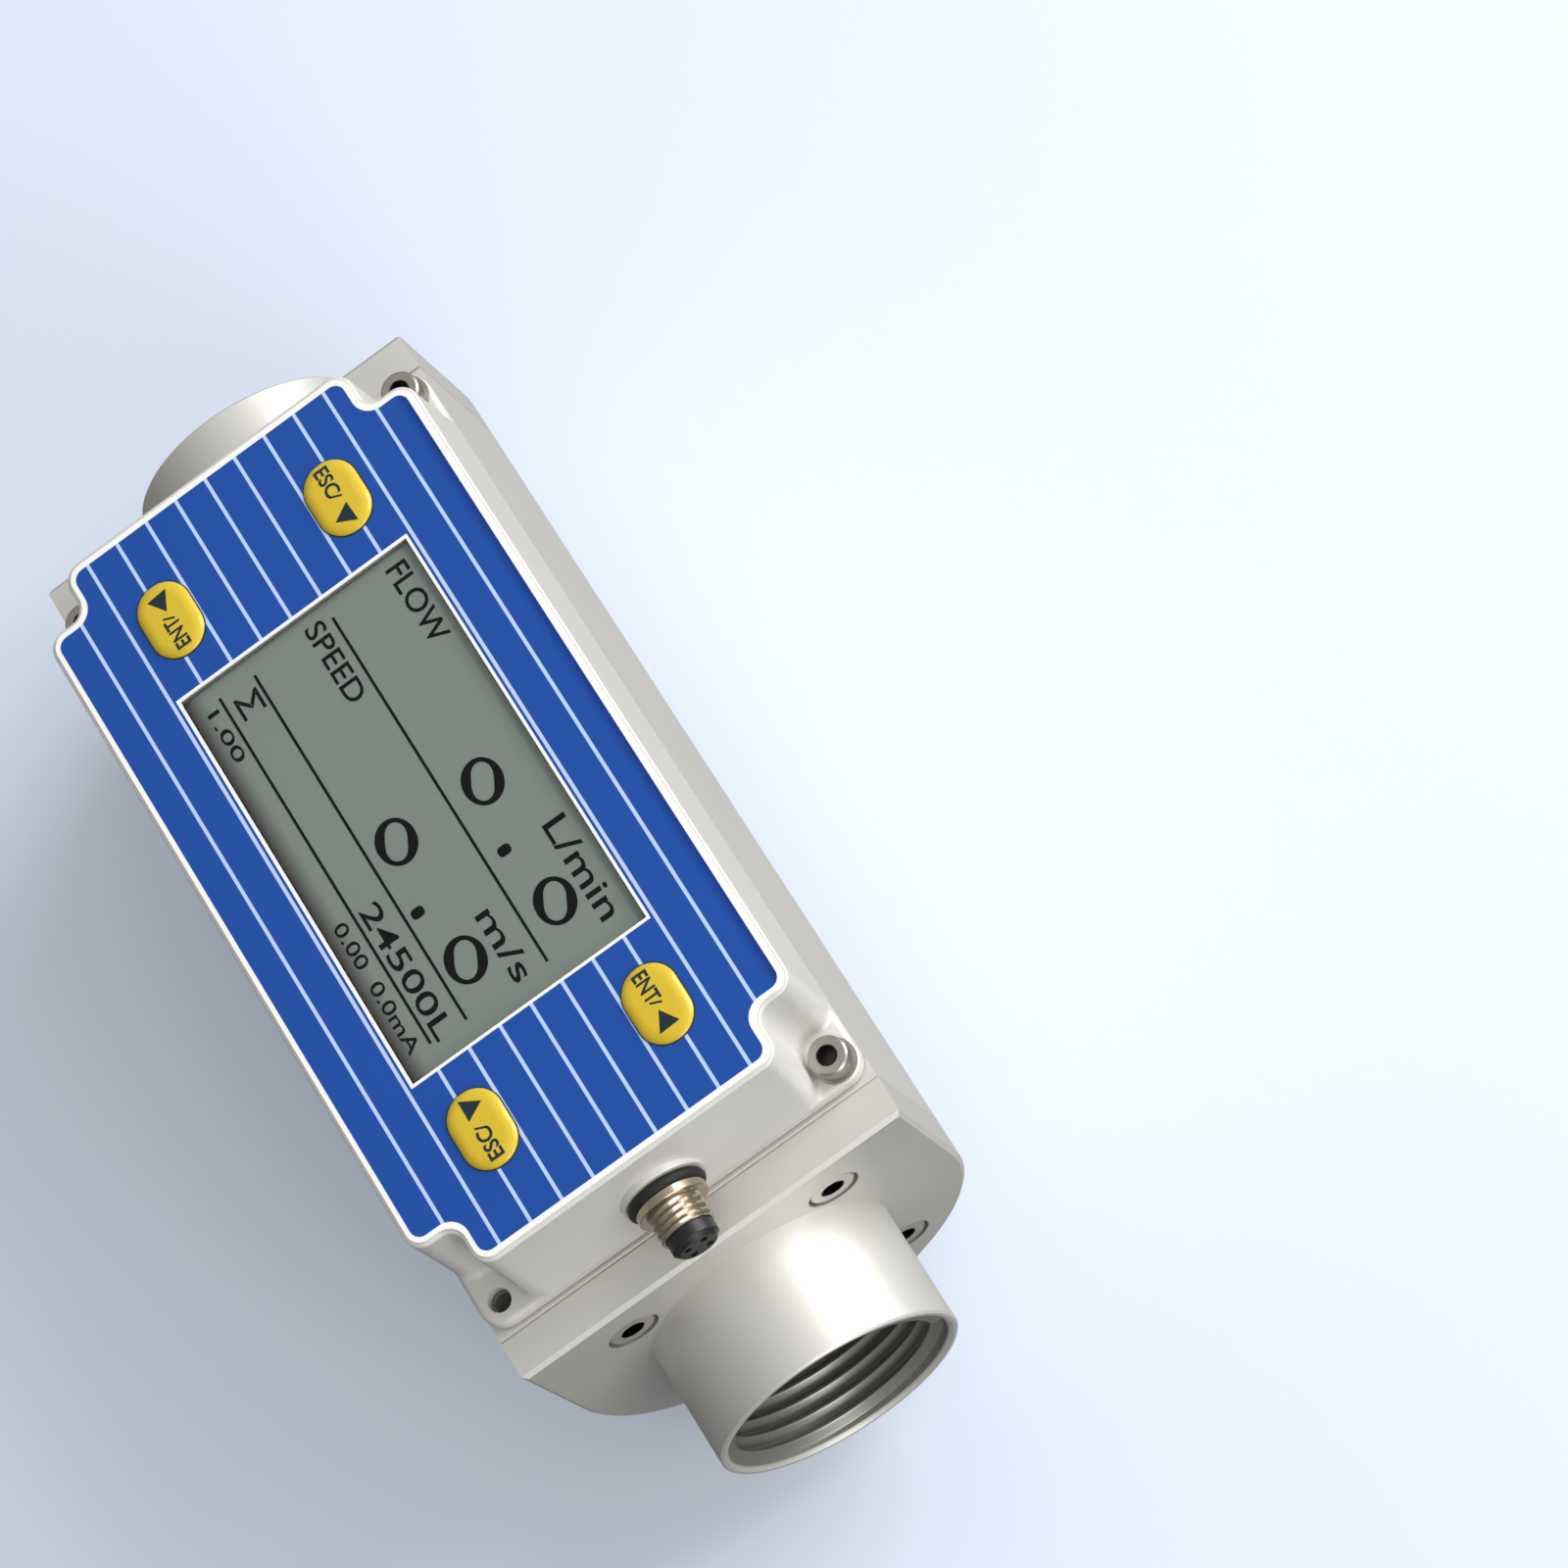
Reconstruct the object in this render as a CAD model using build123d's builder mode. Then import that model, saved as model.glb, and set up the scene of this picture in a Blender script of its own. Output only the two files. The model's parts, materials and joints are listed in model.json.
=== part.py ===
from build123d import *
from math import hypot
import os

# In-line thermal gas mass flow meter, in millimetres.
# The flow axis is X. The origin is at the centre of the inlet port, where its full thread begins.
# +X runs with the flow to the outlet and +Z points to the display.

# Flow channel and ports
channel_radius = 12.5
thread_major_radius = 16.62
thread_relief_chamfer = 0.6
port_radius = 18.0
inlet_port_length = 10.6
outlet_port_length = 18.0
inlet_thread_length = 13.4
outlet_thread_length = 20.8

# Flow body and fitting flanges
body_radius = 30.0
body_top = 25.0
body_length = 121.8
body_edge = 0.45
flange_thickness = 5.8
flange_edge = 0.6
port_edge = 0.3

# Screws: thread radius, head radius, head height, socket across flats, socket depth
flange_screw = (2.0, 3.5, 4.0, 3.0, 2.0)
cover_screw = (1.5, 2.7, 3.0, 2.5, 1.5)
board_screw = (1.25, 2.2, 1.6, 1.5, 0.9)
flange_screw_spacing = 32.0
flange_screw_bite = 9.0
flange_bore_wall = 1.6
head_clearance = 0.2
screw_clearance = 0.15
thread_clearance = 0.03
tap_extra = 2.0
head_chamfer_share = 0.1

# Sealing rings: cord section, centre radius
port_ring_section = 1.6
port_ring_radius = 17.3
ring_groove_play = 0.25

# Electronics cover
gasket_thickness = 0.4
gasket_inset = 0.5
ear_thickness = 1.8
cover_height = 17.52
cover_setback = 0.9
base_corner = 3.4
end_draft = 2.2
crown_edge = 0.35
base_notch_length = 8.0
base_notch_width = 6.7
crown_notch_length = 6.9
crown_notch_width = 6.5
base_notch_inner = 3.6
base_notch_outer = 3.0
crown_notch_inner = 2.2
crown_notch_outer = 2.8
ear_blend = 0.8
wall = 2.2
end_wall = 3.0
roof = 2.2
least_radius = 0.4
ear_hole_from_end = 3.4
ear_hole_from_side = 3.3
washer_rim = 0.35
washer_thickness = 0.5
cover_screw_bite = 6.0

# Face label, window and display
label_thickness = 0.3
label_inset = 0.25
window_length = 63.64
window_width = 37.04
window_margin = 1.9
window_thickness = 0.8
window_play = 0.1
panel_play = 0.2
panel_gap = 0.2
panel_thickness = 2.0
tray_margin = 3.0
tray_chamfer = 0.5

# Keys
key_length = 12.3
key_width = 9.0
key_corner = 3.4
key_from_window = 4.43
key_spacing = 27.6
key_proud = 0.75
key_bevel = 0.5
key_bevel_width = 1.0
key_play = 0.25
key_lip = 0.8
key_lip_thickness = 0.8
key_lip_gap = 0.05
switch_gap = 0.55
switch_body = 6.0
switch_height = 2.9
plunger_radius = 1.6

# Circuit boards
board_thickness = 1.6
boss_height = 5.12
boss_radius = 2.2
boss_from_end_wall = 0.5
boss_from_notch_wall = 1.7
boss_screw_bite = 3.6
board_rim = 2.6
board_slot_play = 1.9
main_board_end_gap = 0.8
main_board_side_gap = 3.8
connector_room = 6.0
standoff_height = 3.6
standoff_radius = 2.4
standoff_from_end = 4.0
standoff_from_side = 3.5
board_screw_bite = 5.0
header_length = 18.0
header_width = 5.0
header_from_end = 15.0

# Components on the main board: length, width, height and place from its centre
board_components = [
    (12.0, 12.0, 1.4, (-18.0, 8.0)),
    (7.0, 5.0, 1.2, (4.0, -12.0)),
    (9.0, 9.0, 2.6, (24.0, 10.0)),
    (6.0, 4.0, 1.6, (22.0, -12.0)),
    (10.0, 4.0, 2.4, (-12.0, -17.0)),
]

# Panel connector on the outlet end of the cover
connector_height = 7.2
connector_seat_depth = 0.5
connector_seat_wall = 4.6
connector_ring_section = 1.5
connector_ring_radius = 4.9
connector_flange_radius = 5.05
connector_flange_thickness = 1.2
connector_thread_radius = 3.95
connector_thread_length = 3.8
connector_shell_wall = 0.5
connector_tip = 2.4
connector_rear = 9.5
connector_pad_margin = 0.4
nut_across_flats = 11.0
nut_thickness = 3.0
contact_radius = 0.5
contact_circle = 1.75
contact_count = 4
contact_sink = 1.0
contact_tail = 3.0
connector_play = 0.05
connector_rim_chamfer = 0.25
connector_tip_chamfer = 0.7

# Sensor probe
probe_plate_radius = 11.0
probe_plate_thickness = 2.4
probe_stem_radius = 6.5
probe_ring_section = 1.3
probe_ring_depth = 3.2
probe_blade_length = 9.0
probe_blade_thickness = 1.6
probe_blade_reach = 15.0
probe_blade_round_share = 0.45
probe_play = 0.1
probe_screw_offset = 8.7
probe_screw_bite = 6.0
chip_length = 4.0
chip_height = 4.0
chip_thickness = 0.5
chip_window = 5.5

# Flow straightener and screens
straightener_radius = 14.2
straightener_length = 8.0
straightener_rim = 1.2
cell_across_flats = 3.2
cell_wall = 0.5
screen_thickness = 0.5
screen_hole = 2.2
screen_bar = 0.6
stack_play = 0.05

# Distance under which two places count as the same
near = 0.01

# Places worked out from the sizes above
inlet_face = inlet_port_length - thread_relief_chamfer
body_start = inlet_face + flange_thickness
body_end = body_start + body_length
body_mid = (body_start + body_end) / 2
cover_base = body_top + gasket_thickness
ear_top = cover_base + ear_thickness
crown_top = cover_base + cover_height
roof_under = crown_top - roof
base_half_x = body_length / 2 - cover_setback
base_half_y = body_radius
base_notch_x = base_half_x - base_notch_length
base_notch_y = base_half_y - base_notch_width
crown_half_x = base_half_x - end_draft
crown_half_y = base_half_y
crown_notch_x = crown_half_x - crown_notch_length
crown_notch_y = crown_half_y - crown_notch_width
ear_hole_x = base_half_x - ear_hole_from_end
ear_hole_y = base_half_y - ear_hole_from_side
washer_radius = cover_screw[1] + washer_rim
label_top = crown_top + label_thickness
window_under = crown_top - window_thickness
panel_top = window_under - panel_gap
panel_under = panel_top - panel_thickness
display_board_top = roof_under - boss_height
display_board_under = display_board_top - board_thickness
boss_x = crown_half_x - end_wall - boss_from_end_wall - boss_radius
boss_y = crown_notch_y - wall - boss_from_notch_wall - boss_radius
main_board_length = 2 * (base_notch_x - wall - main_board_end_gap) - connector_room
main_board_width = 2 * (base_half_y - wall - main_board_side_gap)
main_board_shift = -connector_room / 2
main_board_under = body_top + standoff_height
main_board_top = main_board_under + board_thickness
key_lip_top = roof_under - key_lip_gap
key_under = key_lip_top - key_lip_thickness
key_x = window_length / 2 + key_from_window + key_length / 2
key_y = key_spacing / 2
key_places = {
    "inlet_left": (-key_x, key_y),
    "inlet_right": (-key_x, -key_y),
    "outlet_left": (key_x, key_y),
    "outlet_right": (key_x, -key_y),
}
connector_z = cover_base + connector_height
connector_seat = base_half_x - connector_seat_depth
connector_pad_inside = connector_seat - connector_seat_wall
mid_plane = Plane((body_mid, 0, 0))
inlet_back = Plane(origin=(body_start, 0, 0), x_dir=(0, -1, 0), z_dir=(-1, 0, 0))
outlet_back = Plane(origin=(body_end, 0, 0), x_dir=(0, 1, 0), z_dir=(1, 0, 0))
connector_plane = Plane(origin=(body_mid, 0, connector_z), x_dir=(0, 1, 0), z_dir=(1, 0, 0))

os.makedirs("parts", exist_ok=True)


def keep(name, part):
    """Label a finished piece and write it to its own file."""
    part.label = name
    export_step(part, f"parts/{name}.step")


def corners(half_x, half_y):
    """The four points at plus and minus half_x and half_y."""
    return [(x, y) for x in (-half_x, half_x) for y in (-half_y, half_y)]


def height_over(plane, edge):
    """How far an edge's middle lies over a plane."""
    return round(plane.to_local_coords(edge.center()).Z, 4)


def body_outline():
    """Section of the flow body and of its flanges: flat top, upright sides, round belly."""
    with BuildSketch() as outline:
        with BuildLine():
            Polyline((-body_radius, 0), (-body_radius, body_top), (body_radius, body_top), (body_radius, 0))
            ThreePointArc((body_radius, 0), (0, -body_radius), (-body_radius, 0))
        make_face()
    return outline.sketch


def notched_outline(half_x, half_y, notch_x, notch_y, inner, outer):
    """Rectangle with a notch at each corner, inner radius in the notch and outer radius beside it."""
    with BuildSketch() as outline:
        Rectangle(2 * half_x, 2 * half_y)
        with Locations(*corners(half_x, half_y)):
            Rectangle(2 * (half_x - notch_x), 2 * (half_y - notch_y), mode=Mode.SUBTRACT)
        deep = [
            corner
            for corner in outline.vertices()
            if abs(corner.X) < half_x - near and abs(corner.Y) < half_y - near
        ]
        fillet(deep, inner)
        proud = [
            corner
            for corner in outline.vertices()
            if abs(corner.X) > half_x - near or abs(corner.Y) > half_y - near
        ]
        fillet(proud, outer)
    return outline.sketch


def crown_outline(inset=0.0):
    """Outline of the cover's raised face, drawn in by an inset."""
    return notched_outline(
        crown_half_x - inset,
        crown_half_y - inset,
        crown_notch_x - inset,
        crown_notch_y - inset,
        crown_notch_inner + inset,
        crown_notch_outer - inset,
    )


def base_outline():
    """Outline of the cover's walls where they rise from the ears."""
    return notched_outline(
        base_half_x, base_half_y, base_notch_x, base_notch_y, base_notch_inner, base_notch_outer
    )


def cavity_outline(half_x, half_y, notch_x, notch_y, inner, outer):
    """Outline of the hollow inside the cover: the outside drawn in by the walls."""
    return notched_outline(
        half_x - end_wall,
        half_y - wall,
        notch_x - wall,
        notch_y - wall,
        inner + wall,
        max(outer - wall, least_radius),
    )


def base_cavity():
    """The hollow's outline where the cover sits on its gasket."""
    return cavity_outline(
        base_half_x, base_half_y, base_notch_x, base_notch_y, base_notch_inner, base_notch_outer
    )


def crown_cavity():
    """The hollow's outline under the roof."""
    return cavity_outline(
        crown_half_x, crown_half_y, crown_notch_x, crown_notch_y, crown_notch_inner, crown_notch_outer
    )


def socket_screws(plane, points, sizes, length):
    """Cap screws with their heads on the plane, shanks going down from it."""
    thread_radius, head_radius, head_height, socket_flats, socket_depth = sizes
    with BuildPart() as screws:
        with BuildSketch(plane):
            with Locations(*points):
                Circle(head_radius)
        extrude(amount=head_height)
        rims = screws.edges().filter_by(GeomType.CIRCLE)
        chamfer(rims.group_by(lambda edge: height_over(plane, edge))[-1], head_chamfer_share * head_radius)
        with BuildSketch(plane):
            with Locations(*points):
                Circle(thread_radius)
        extrude(amount=-length)
        with BuildSketch(plane.offset(head_height)):
            with Locations(*points):
                RegularPolygon(socket_flats / 2, 6, major_radius=False)
        extrude(amount=-socket_depth, mode=Mode.SUBTRACT)
    return screws.part


def sealing_ring(plane, radius, section):
    """Round sealing ring lying in the plane, its cord centred half a section above it."""
    with BuildPart() as ring:
        with BuildSketch(Plane(origin=plane.origin, x_dir=plane.x_dir, z_dir=plane.y_dir)):
            with Locations((radius, -section / 2)):
                Circle(section / 2)
        revolve(axis=Axis(plane.origin, plane.z_dir))
    return ring.part


# Flow body: one block with the channel through it, seats for the straightener and the screens,
# a stepped pocket for the probe and tapped holes for everything that is screwed to it
flange_points = corners(flange_screw_spacing / 2, flange_screw_spacing / 2)
inlet_stack = straightener_length + screen_thickness
probe_screw_points = [(-probe_screw_offset, 0), (probe_screw_offset, 0)]
standoff_corners = corners(
    main_board_length / 2 - standoff_from_end, main_board_width / 2 - standoff_from_side
)
standoff_points = [(x + main_board_shift, y) for x, y in standoff_corners]
with BuildPart() as flow_body:
    with BuildSketch(Plane.YZ.offset(body_start)):
        add(body_outline())
    extrude(amount=body_length)
    ends = flow_body.edges().group_by(Axis.X)
    chamfer(ends[0] + ends[-1], body_edge)
    with BuildSketch(Plane.YZ.offset(body_start)):
        Circle(channel_radius)
    extrude(amount=body_length, mode=Mode.SUBTRACT)
    with BuildSketch(Plane.YZ.offset(body_start)):
        Circle(straightener_radius + stack_play)
    extrude(amount=inlet_stack + stack_play, mode=Mode.SUBTRACT)
    with BuildSketch(Plane.YZ.offset(body_end)):
        Circle(straightener_radius + stack_play)
    extrude(amount=-(screen_thickness + stack_play), mode=Mode.SUBTRACT)
    for back in (inlet_back, outlet_back):
        with BuildSketch(back):
            with Locations(*flange_points):
                Circle(flange_screw[0] + thread_clearance)
        extrude(amount=-(flange_screw_bite + tap_extra), mode=Mode.SUBTRACT)
    with BuildSketch(mid_plane.offset(body_top)):
        Circle(probe_plate_radius + probe_play)
    extrude(amount=-probe_plate_thickness, mode=Mode.SUBTRACT)
    with BuildSketch(mid_plane.offset(body_top)):
        Circle(probe_stem_radius + probe_play)
    extrude(amount=-body_top, mode=Mode.SUBTRACT)
    with BuildSketch(mid_plane.offset(body_top)):
        with Locations(*probe_screw_points):
            Circle(board_screw[0] + thread_clearance)
    extrude(amount=-(probe_plate_thickness + probe_screw_bite + tap_extra), mode=Mode.SUBTRACT)
    with BuildSketch(mid_plane.offset(body_top)):
        with Locations(*corners(ear_hole_x, ear_hole_y)):
            Circle(cover_screw[0] + thread_clearance)
    extrude(amount=-(cover_screw_bite + tap_extra), mode=Mode.SUBTRACT)
    with BuildSketch(mid_plane.offset(body_top)):
        with Locations(*standoff_points):
            Circle(board_screw[0] + thread_clearance)
    extrude(amount=-(board_screw_bite + tap_extra), mode=Mode.SUBTRACT)
keep("flow_body", flow_body.part)


def port_fitting(back, port_length, thread_length):
    """Flange with a round port, bored for the pipe thread down to a shoulder at the channel."""
    mouth = flange_thickness + port_length
    head_depth = flange_screw[2] + head_clearance
    with BuildPart() as fitting:
        with BuildSketch(back):
            add(body_outline())
        extrude(amount=flange_thickness)
        chamfer(fitting.edges().group_by(lambda edge: height_over(back, edge))[-1], flange_edge)
        with BuildSketch(back.offset(flange_thickness)):
            Circle(port_radius)
        extrude(amount=port_length)
        chamfer(fitting.edges().group_by(lambda edge: height_over(back, edge))[-1], port_edge)
        with BuildSketch(back):
            Circle(channel_radius)
        extrude(amount=mouth, mode=Mode.SUBTRACT)
        with BuildSketch(back.offset(mouth)):
            Circle(thread_major_radius)
        extrude(amount=-(thread_length + thread_relief_chamfer), mode=Mode.SUBTRACT)
        with BuildSketch(back.offset(mouth)):
            Circle(thread_major_radius + thread_relief_chamfer)
        extrude(amount=-thread_relief_chamfer, taper=45, mode=Mode.SUBTRACT)
        with BuildSketch(back):
            Circle(port_ring_radius + port_ring_section / 2 + ring_groove_play)
            Circle(port_ring_radius - port_ring_section / 2 - ring_groove_play, mode=Mode.SUBTRACT)
        extrude(amount=port_ring_section, mode=Mode.SUBTRACT)
        with BuildSketch(back):
            with Locations(*flange_points):
                Circle(flange_screw[0] + screw_clearance)
        extrude(amount=flange_thickness, mode=Mode.SUBTRACT)
        with BuildSketch(back.offset(flange_bore_wall)):
            with Locations(*flange_points):
                Circle(flange_screw[1] + head_clearance)
        extrude(amount=head_depth + flange_edge, mode=Mode.SUBTRACT)
    return fitting.part


keep("inlet_fitting", port_fitting(inlet_back, inlet_port_length, inlet_thread_length))
keep("outlet_fitting", port_fitting(outlet_back, outlet_port_length, outlet_thread_length))
for name, back in (("inlet", inlet_back), ("outlet", outlet_back)):
    keep(f"{name}_fitting_seal", sealing_ring(back, port_ring_radius, port_ring_section))
    head_seat = back.offset(flange_bore_wall)
    keep(
        f"{name}_fitting_screws",
        socket_screws(head_seat, flange_points, flange_screw, flange_bore_wall + flange_screw_bite),
    )


# Flow straightener: honeycomb of six-sided cells inside a plain rim
straightener_start = body_start + stack_play
cell_pitch = cell_across_flats + cell_wall
cells_across = 2 * int(straightener_radius / cell_pitch) + 3
with BuildPart() as flow_straightener:
    with BuildSketch(Plane.YZ.offset(straightener_start + screen_thickness)):
        Circle(straightener_radius)
        grid = HexLocations(cell_pitch / 2, cells_across, cells_across, major_radius=False)
        cells = [
            cell.position
            for cell in grid.local_locations
            if cell.position.length + cell_across_flats / 2 < straightener_radius - straightener_rim
        ]
        with Locations(*cells):
            RegularPolygon(cell_across_flats / 2, 6, major_radius=False, rotation=30, mode=Mode.SUBTRACT)
    extrude(amount=straightener_length)
keep("flow_straightener", flow_straightener.part)


def wire_screen(start):
    """Thin perforated disc across the channel."""
    pitch = screen_hole + screen_bar
    holes_across = 2 * int(channel_radius / pitch) + 1
    half_diagonal = hypot(screen_hole, screen_hole) / 2
    with BuildPart() as screen:
        with BuildSketch(Plane.YZ.offset(start)):
            Circle(straightener_radius)
            holes = [
                hole.position
                for hole in GridLocations(pitch, pitch, holes_across, holes_across).local_locations
                if hole.position.length + half_diagonal < channel_radius
            ]
            with Locations(*holes):
                Rectangle(screen_hole, screen_hole, mode=Mode.SUBTRACT)
        extrude(amount=screen_thickness)
    return screen.part


keep("inlet_screen", wire_screen(straightener_start))
keep("outlet_screen", wire_screen(body_end - screen_thickness - stack_play))

# Sensor probe: round plate in the pocket, stem through the wall, thin blade across the channel
with BuildPart() as sensor_probe:
    with BuildSketch(mid_plane.offset(body_top)):
        Circle(probe_plate_radius)
    extrude(amount=-probe_plate_thickness)
    with BuildSketch(mid_plane.offset(body_top - probe_plate_thickness)):
        Circle(probe_stem_radius)
    extrude(amount=-(body_top - probe_plate_thickness - channel_radius))
    with BuildSketch(mid_plane.offset(channel_radius)):
        Rectangle(probe_blade_length, probe_blade_thickness)
    extrude(amount=-probe_blade_reach)
    upright = sensor_probe.edges().filter_by(Axis.Z)
    blade_edges = upright.filter_by(lambda edge: edge.center().Z < channel_radius)
    fillet(blade_edges, probe_blade_thickness * probe_blade_round_share)
    with BuildSketch(Plane.XZ.offset(-probe_blade_thickness / 2)):
        with Locations((body_mid, 0)):
            Rectangle(chip_window, chip_height)
    extrude(amount=probe_blade_thickness, mode=Mode.SUBTRACT)
    ring_level = body_top - probe_plate_thickness - probe_ring_depth
    with BuildSketch(mid_plane.offset(ring_level)):
        Circle(probe_stem_radius + probe_play)
        Circle(probe_stem_radius + probe_play - probe_ring_section, mode=Mode.SUBTRACT)
    extrude(amount=-(probe_ring_section + ring_groove_play), mode=Mode.SUBTRACT)
    with BuildSketch(mid_plane.offset(body_top)):
        with Locations(*probe_screw_points):
            Circle(board_screw[0] + screw_clearance)
    extrude(amount=-probe_plate_thickness, mode=Mode.SUBTRACT)
keep("sensor_probe", sensor_probe.part)

# Thermal chip across the blade's window
with BuildPart() as sensor_chip:
    with BuildSketch(Plane.XZ.offset(-chip_thickness / 2)):
        with Locations((body_mid, 0)):
            Rectangle(chip_length, chip_height)
    extrude(amount=chip_thickness)
keep("sensor_chip", sensor_chip.part)
probe_ring_plane = mid_plane.offset(ring_level - probe_ring_section - ring_groove_play / 2)
probe_ring_radius = probe_stem_radius + probe_play - probe_ring_section / 2
keep("sensor_seal", sealing_ring(probe_ring_plane, probe_ring_radius, probe_ring_section))
keep(
    "sensor_screws",
    socket_screws(
        mid_plane.offset(body_top),
        probe_screw_points,
        board_screw,
        probe_plate_thickness + probe_screw_bite,
    ),
)

# Flat gasket under the cover
with BuildPart() as cover_gasket:
    with BuildSketch(mid_plane.offset(body_top)):
        RectangleRounded(2 * (base_half_x - gasket_inset), 2 * (base_half_y - gasket_inset), base_corner)
    extrude(amount=gasket_thickness)
    with BuildSketch(mid_plane.offset(body_top)):
        add(base_cavity())
    extrude(amount=gasket_thickness, mode=Mode.SUBTRACT)
    with BuildSketch(mid_plane.offset(body_top)):
        with Locations(*corners(ear_hole_x, ear_hole_y)):
            Circle(cover_screw[0] + screw_clearance)
    extrude(amount=gasket_thickness, mode=Mode.SUBTRACT)
keep("cover_gasket", cover_gasket.part)

# Cover: cast shell with drafted walls, a notched crown and an ear at each corner
key_points = list(key_places.values())
pad_radius = connector_ring_radius + connector_ring_section / 2 + connector_pad_margin
with BuildPart() as cover:
    with BuildSketch(mid_plane.offset(ear_top)):
        add(base_outline())
    with BuildSketch(mid_plane.offset(crown_top)):
        add(crown_outline())
    loft(ruled=True)
    fillet(cover.edges().group_by(Axis.Z)[-1], crown_edge)
    with BuildSketch(mid_plane.offset(cover_base)):
        RectangleRounded(2 * base_half_x, 2 * base_half_y, base_corner)
    extrude(amount=ear_thickness)
    ear_line = [
        edge
        for edge in cover.edges().filter_by_position(Axis.Z, ear_top - near, ear_top + near)
        if abs(edge.center().X - body_mid) < base_half_x - near
        and abs(edge.center().Y) < base_half_y - near
    ]
    fillet(ear_line, ear_blend)
    with BuildSketch(mid_plane.offset(ear_top)):
        with Locations(*corners(ear_hole_x, ear_hole_y)):
            Circle(washer_radius + head_clearance)
    extrude(amount=ear_blend, mode=Mode.SUBTRACT)
    with BuildSketch(mid_plane.offset(cover_base)):
        add(base_cavity())
    with BuildSketch(mid_plane.offset(roof_under)):
        add(crown_cavity())
    loft(ruled=True, mode=Mode.SUBTRACT)
    with BuildSketch(connector_plane.offset(connector_pad_inside)):
        Circle(pad_radius)
    extrude(amount=connector_seat - connector_pad_inside)
    with BuildSketch(connector_plane.offset(connector_seat)):
        Circle(pad_radius)
    extrude(amount=pad_radius, mode=Mode.SUBTRACT)
    with BuildSketch(connector_plane.offset(connector_pad_inside)):
        Circle(connector_thread_radius + connector_play)
    extrude(amount=pad_radius, mode=Mode.SUBTRACT)
    with BuildSketch(mid_plane.offset(roof_under)):
        with Locations(*corners(boss_x, boss_y)):
            Circle(boss_radius)
    extrude(amount=-boss_height)
    with BuildSketch(mid_plane.offset(display_board_top)):
        with Locations(*corners(boss_x, boss_y)):
            Circle(board_screw[0] + thread_clearance)
    extrude(amount=boss_height, mode=Mode.SUBTRACT)
    with BuildSketch(mid_plane.offset(roof_under)):
        Rectangle(window_length + 2 * panel_play, window_width + 2 * panel_play)
        with Locations(*key_points):
            RectangleRounded(key_length + 2 * key_play, key_width + 2 * key_play, key_corner + key_play)
    extrude(amount=roof, mode=Mode.SUBTRACT)
    with BuildSketch(mid_plane.offset(window_under)):
        RectangleRounded(window_length + 2 * window_margin, window_width + 2 * window_margin, window_margin)
    extrude(amount=window_thickness, mode=Mode.SUBTRACT)
    with BuildSketch(mid_plane.offset(cover_base)):
        with Locations(*corners(ear_hole_x, ear_hole_y)):
            Circle(cover_screw[0] + screw_clearance)
    extrude(amount=ear_thickness, mode=Mode.SUBTRACT)
keep("cover", cover.part)

# Cover screws and their washers: the fourth ear hole, at the outlet end, stands empty
screwed_ears = [place for place in corners(ear_hole_x, ear_hole_y) if place != (ear_hole_x, -ear_hole_y)]
with BuildPart() as cover_washers:
    with BuildSketch(mid_plane.offset(ear_top)):
        with Locations(*screwed_ears):
            Circle(washer_radius)
            Circle(cover_screw[0] + screw_clearance, mode=Mode.SUBTRACT)
    extrude(amount=washer_thickness)
keep("cover_washers", cover_washers.part)
keep(
    "cover_screws",
    socket_screws(
        mid_plane.offset(ear_top + washer_thickness),
        screwed_ears,
        cover_screw,
        washer_thickness + ear_thickness + gasket_thickness + cover_screw_bite,
    ),
)

# Face label: printed film on the crown, open over the window and the keys
with BuildPart() as face_label:
    with BuildSketch(mid_plane.offset(crown_top)):
        add(crown_outline(crown_edge + label_inset))
        Rectangle(window_length, window_width, mode=Mode.SUBTRACT)
        with Locations(*key_points):
            RectangleRounded(
                key_length + 2 * key_play,
                key_width + 2 * key_play,
                key_corner + key_play,
                mode=Mode.SUBTRACT,
            )
    extrude(amount=label_thickness)
keep("face_label", face_label.part)

# Display window: clear pane flush with the crown, on a ledge round the opening
pane_margin = window_margin - window_play
with BuildPart() as display_window:
    with BuildSketch(mid_plane.offset(window_under)):
        RectangleRounded(window_length + 2 * pane_margin, window_width + 2 * pane_margin, pane_margin)
    extrude(amount=window_thickness)
keep("display_window", display_window.part)

# Display panel: liquid crystal glass that stands in the opening, on its backlight tray
with BuildPart() as display_panel:
    with BuildSketch(mid_plane.offset(panel_under)):
        Rectangle(window_length, window_width)
    extrude(amount=panel_thickness)
keep("display_panel", display_panel.part)

# Backlight tray: fills the space between the board and the panel, below the roof
with BuildPart() as backlight_tray:
    with BuildSketch(mid_plane.offset(display_board_top)):
        Rectangle(window_length + 2 * tray_margin, window_width + 2 * tray_margin)
    extrude(amount=panel_under - display_board_top)
    chamfer(backlight_tray.edges().group_by(Axis.Z)[-1], tray_chamfer)
keep("backlight_tray", backlight_tray.part)

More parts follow.
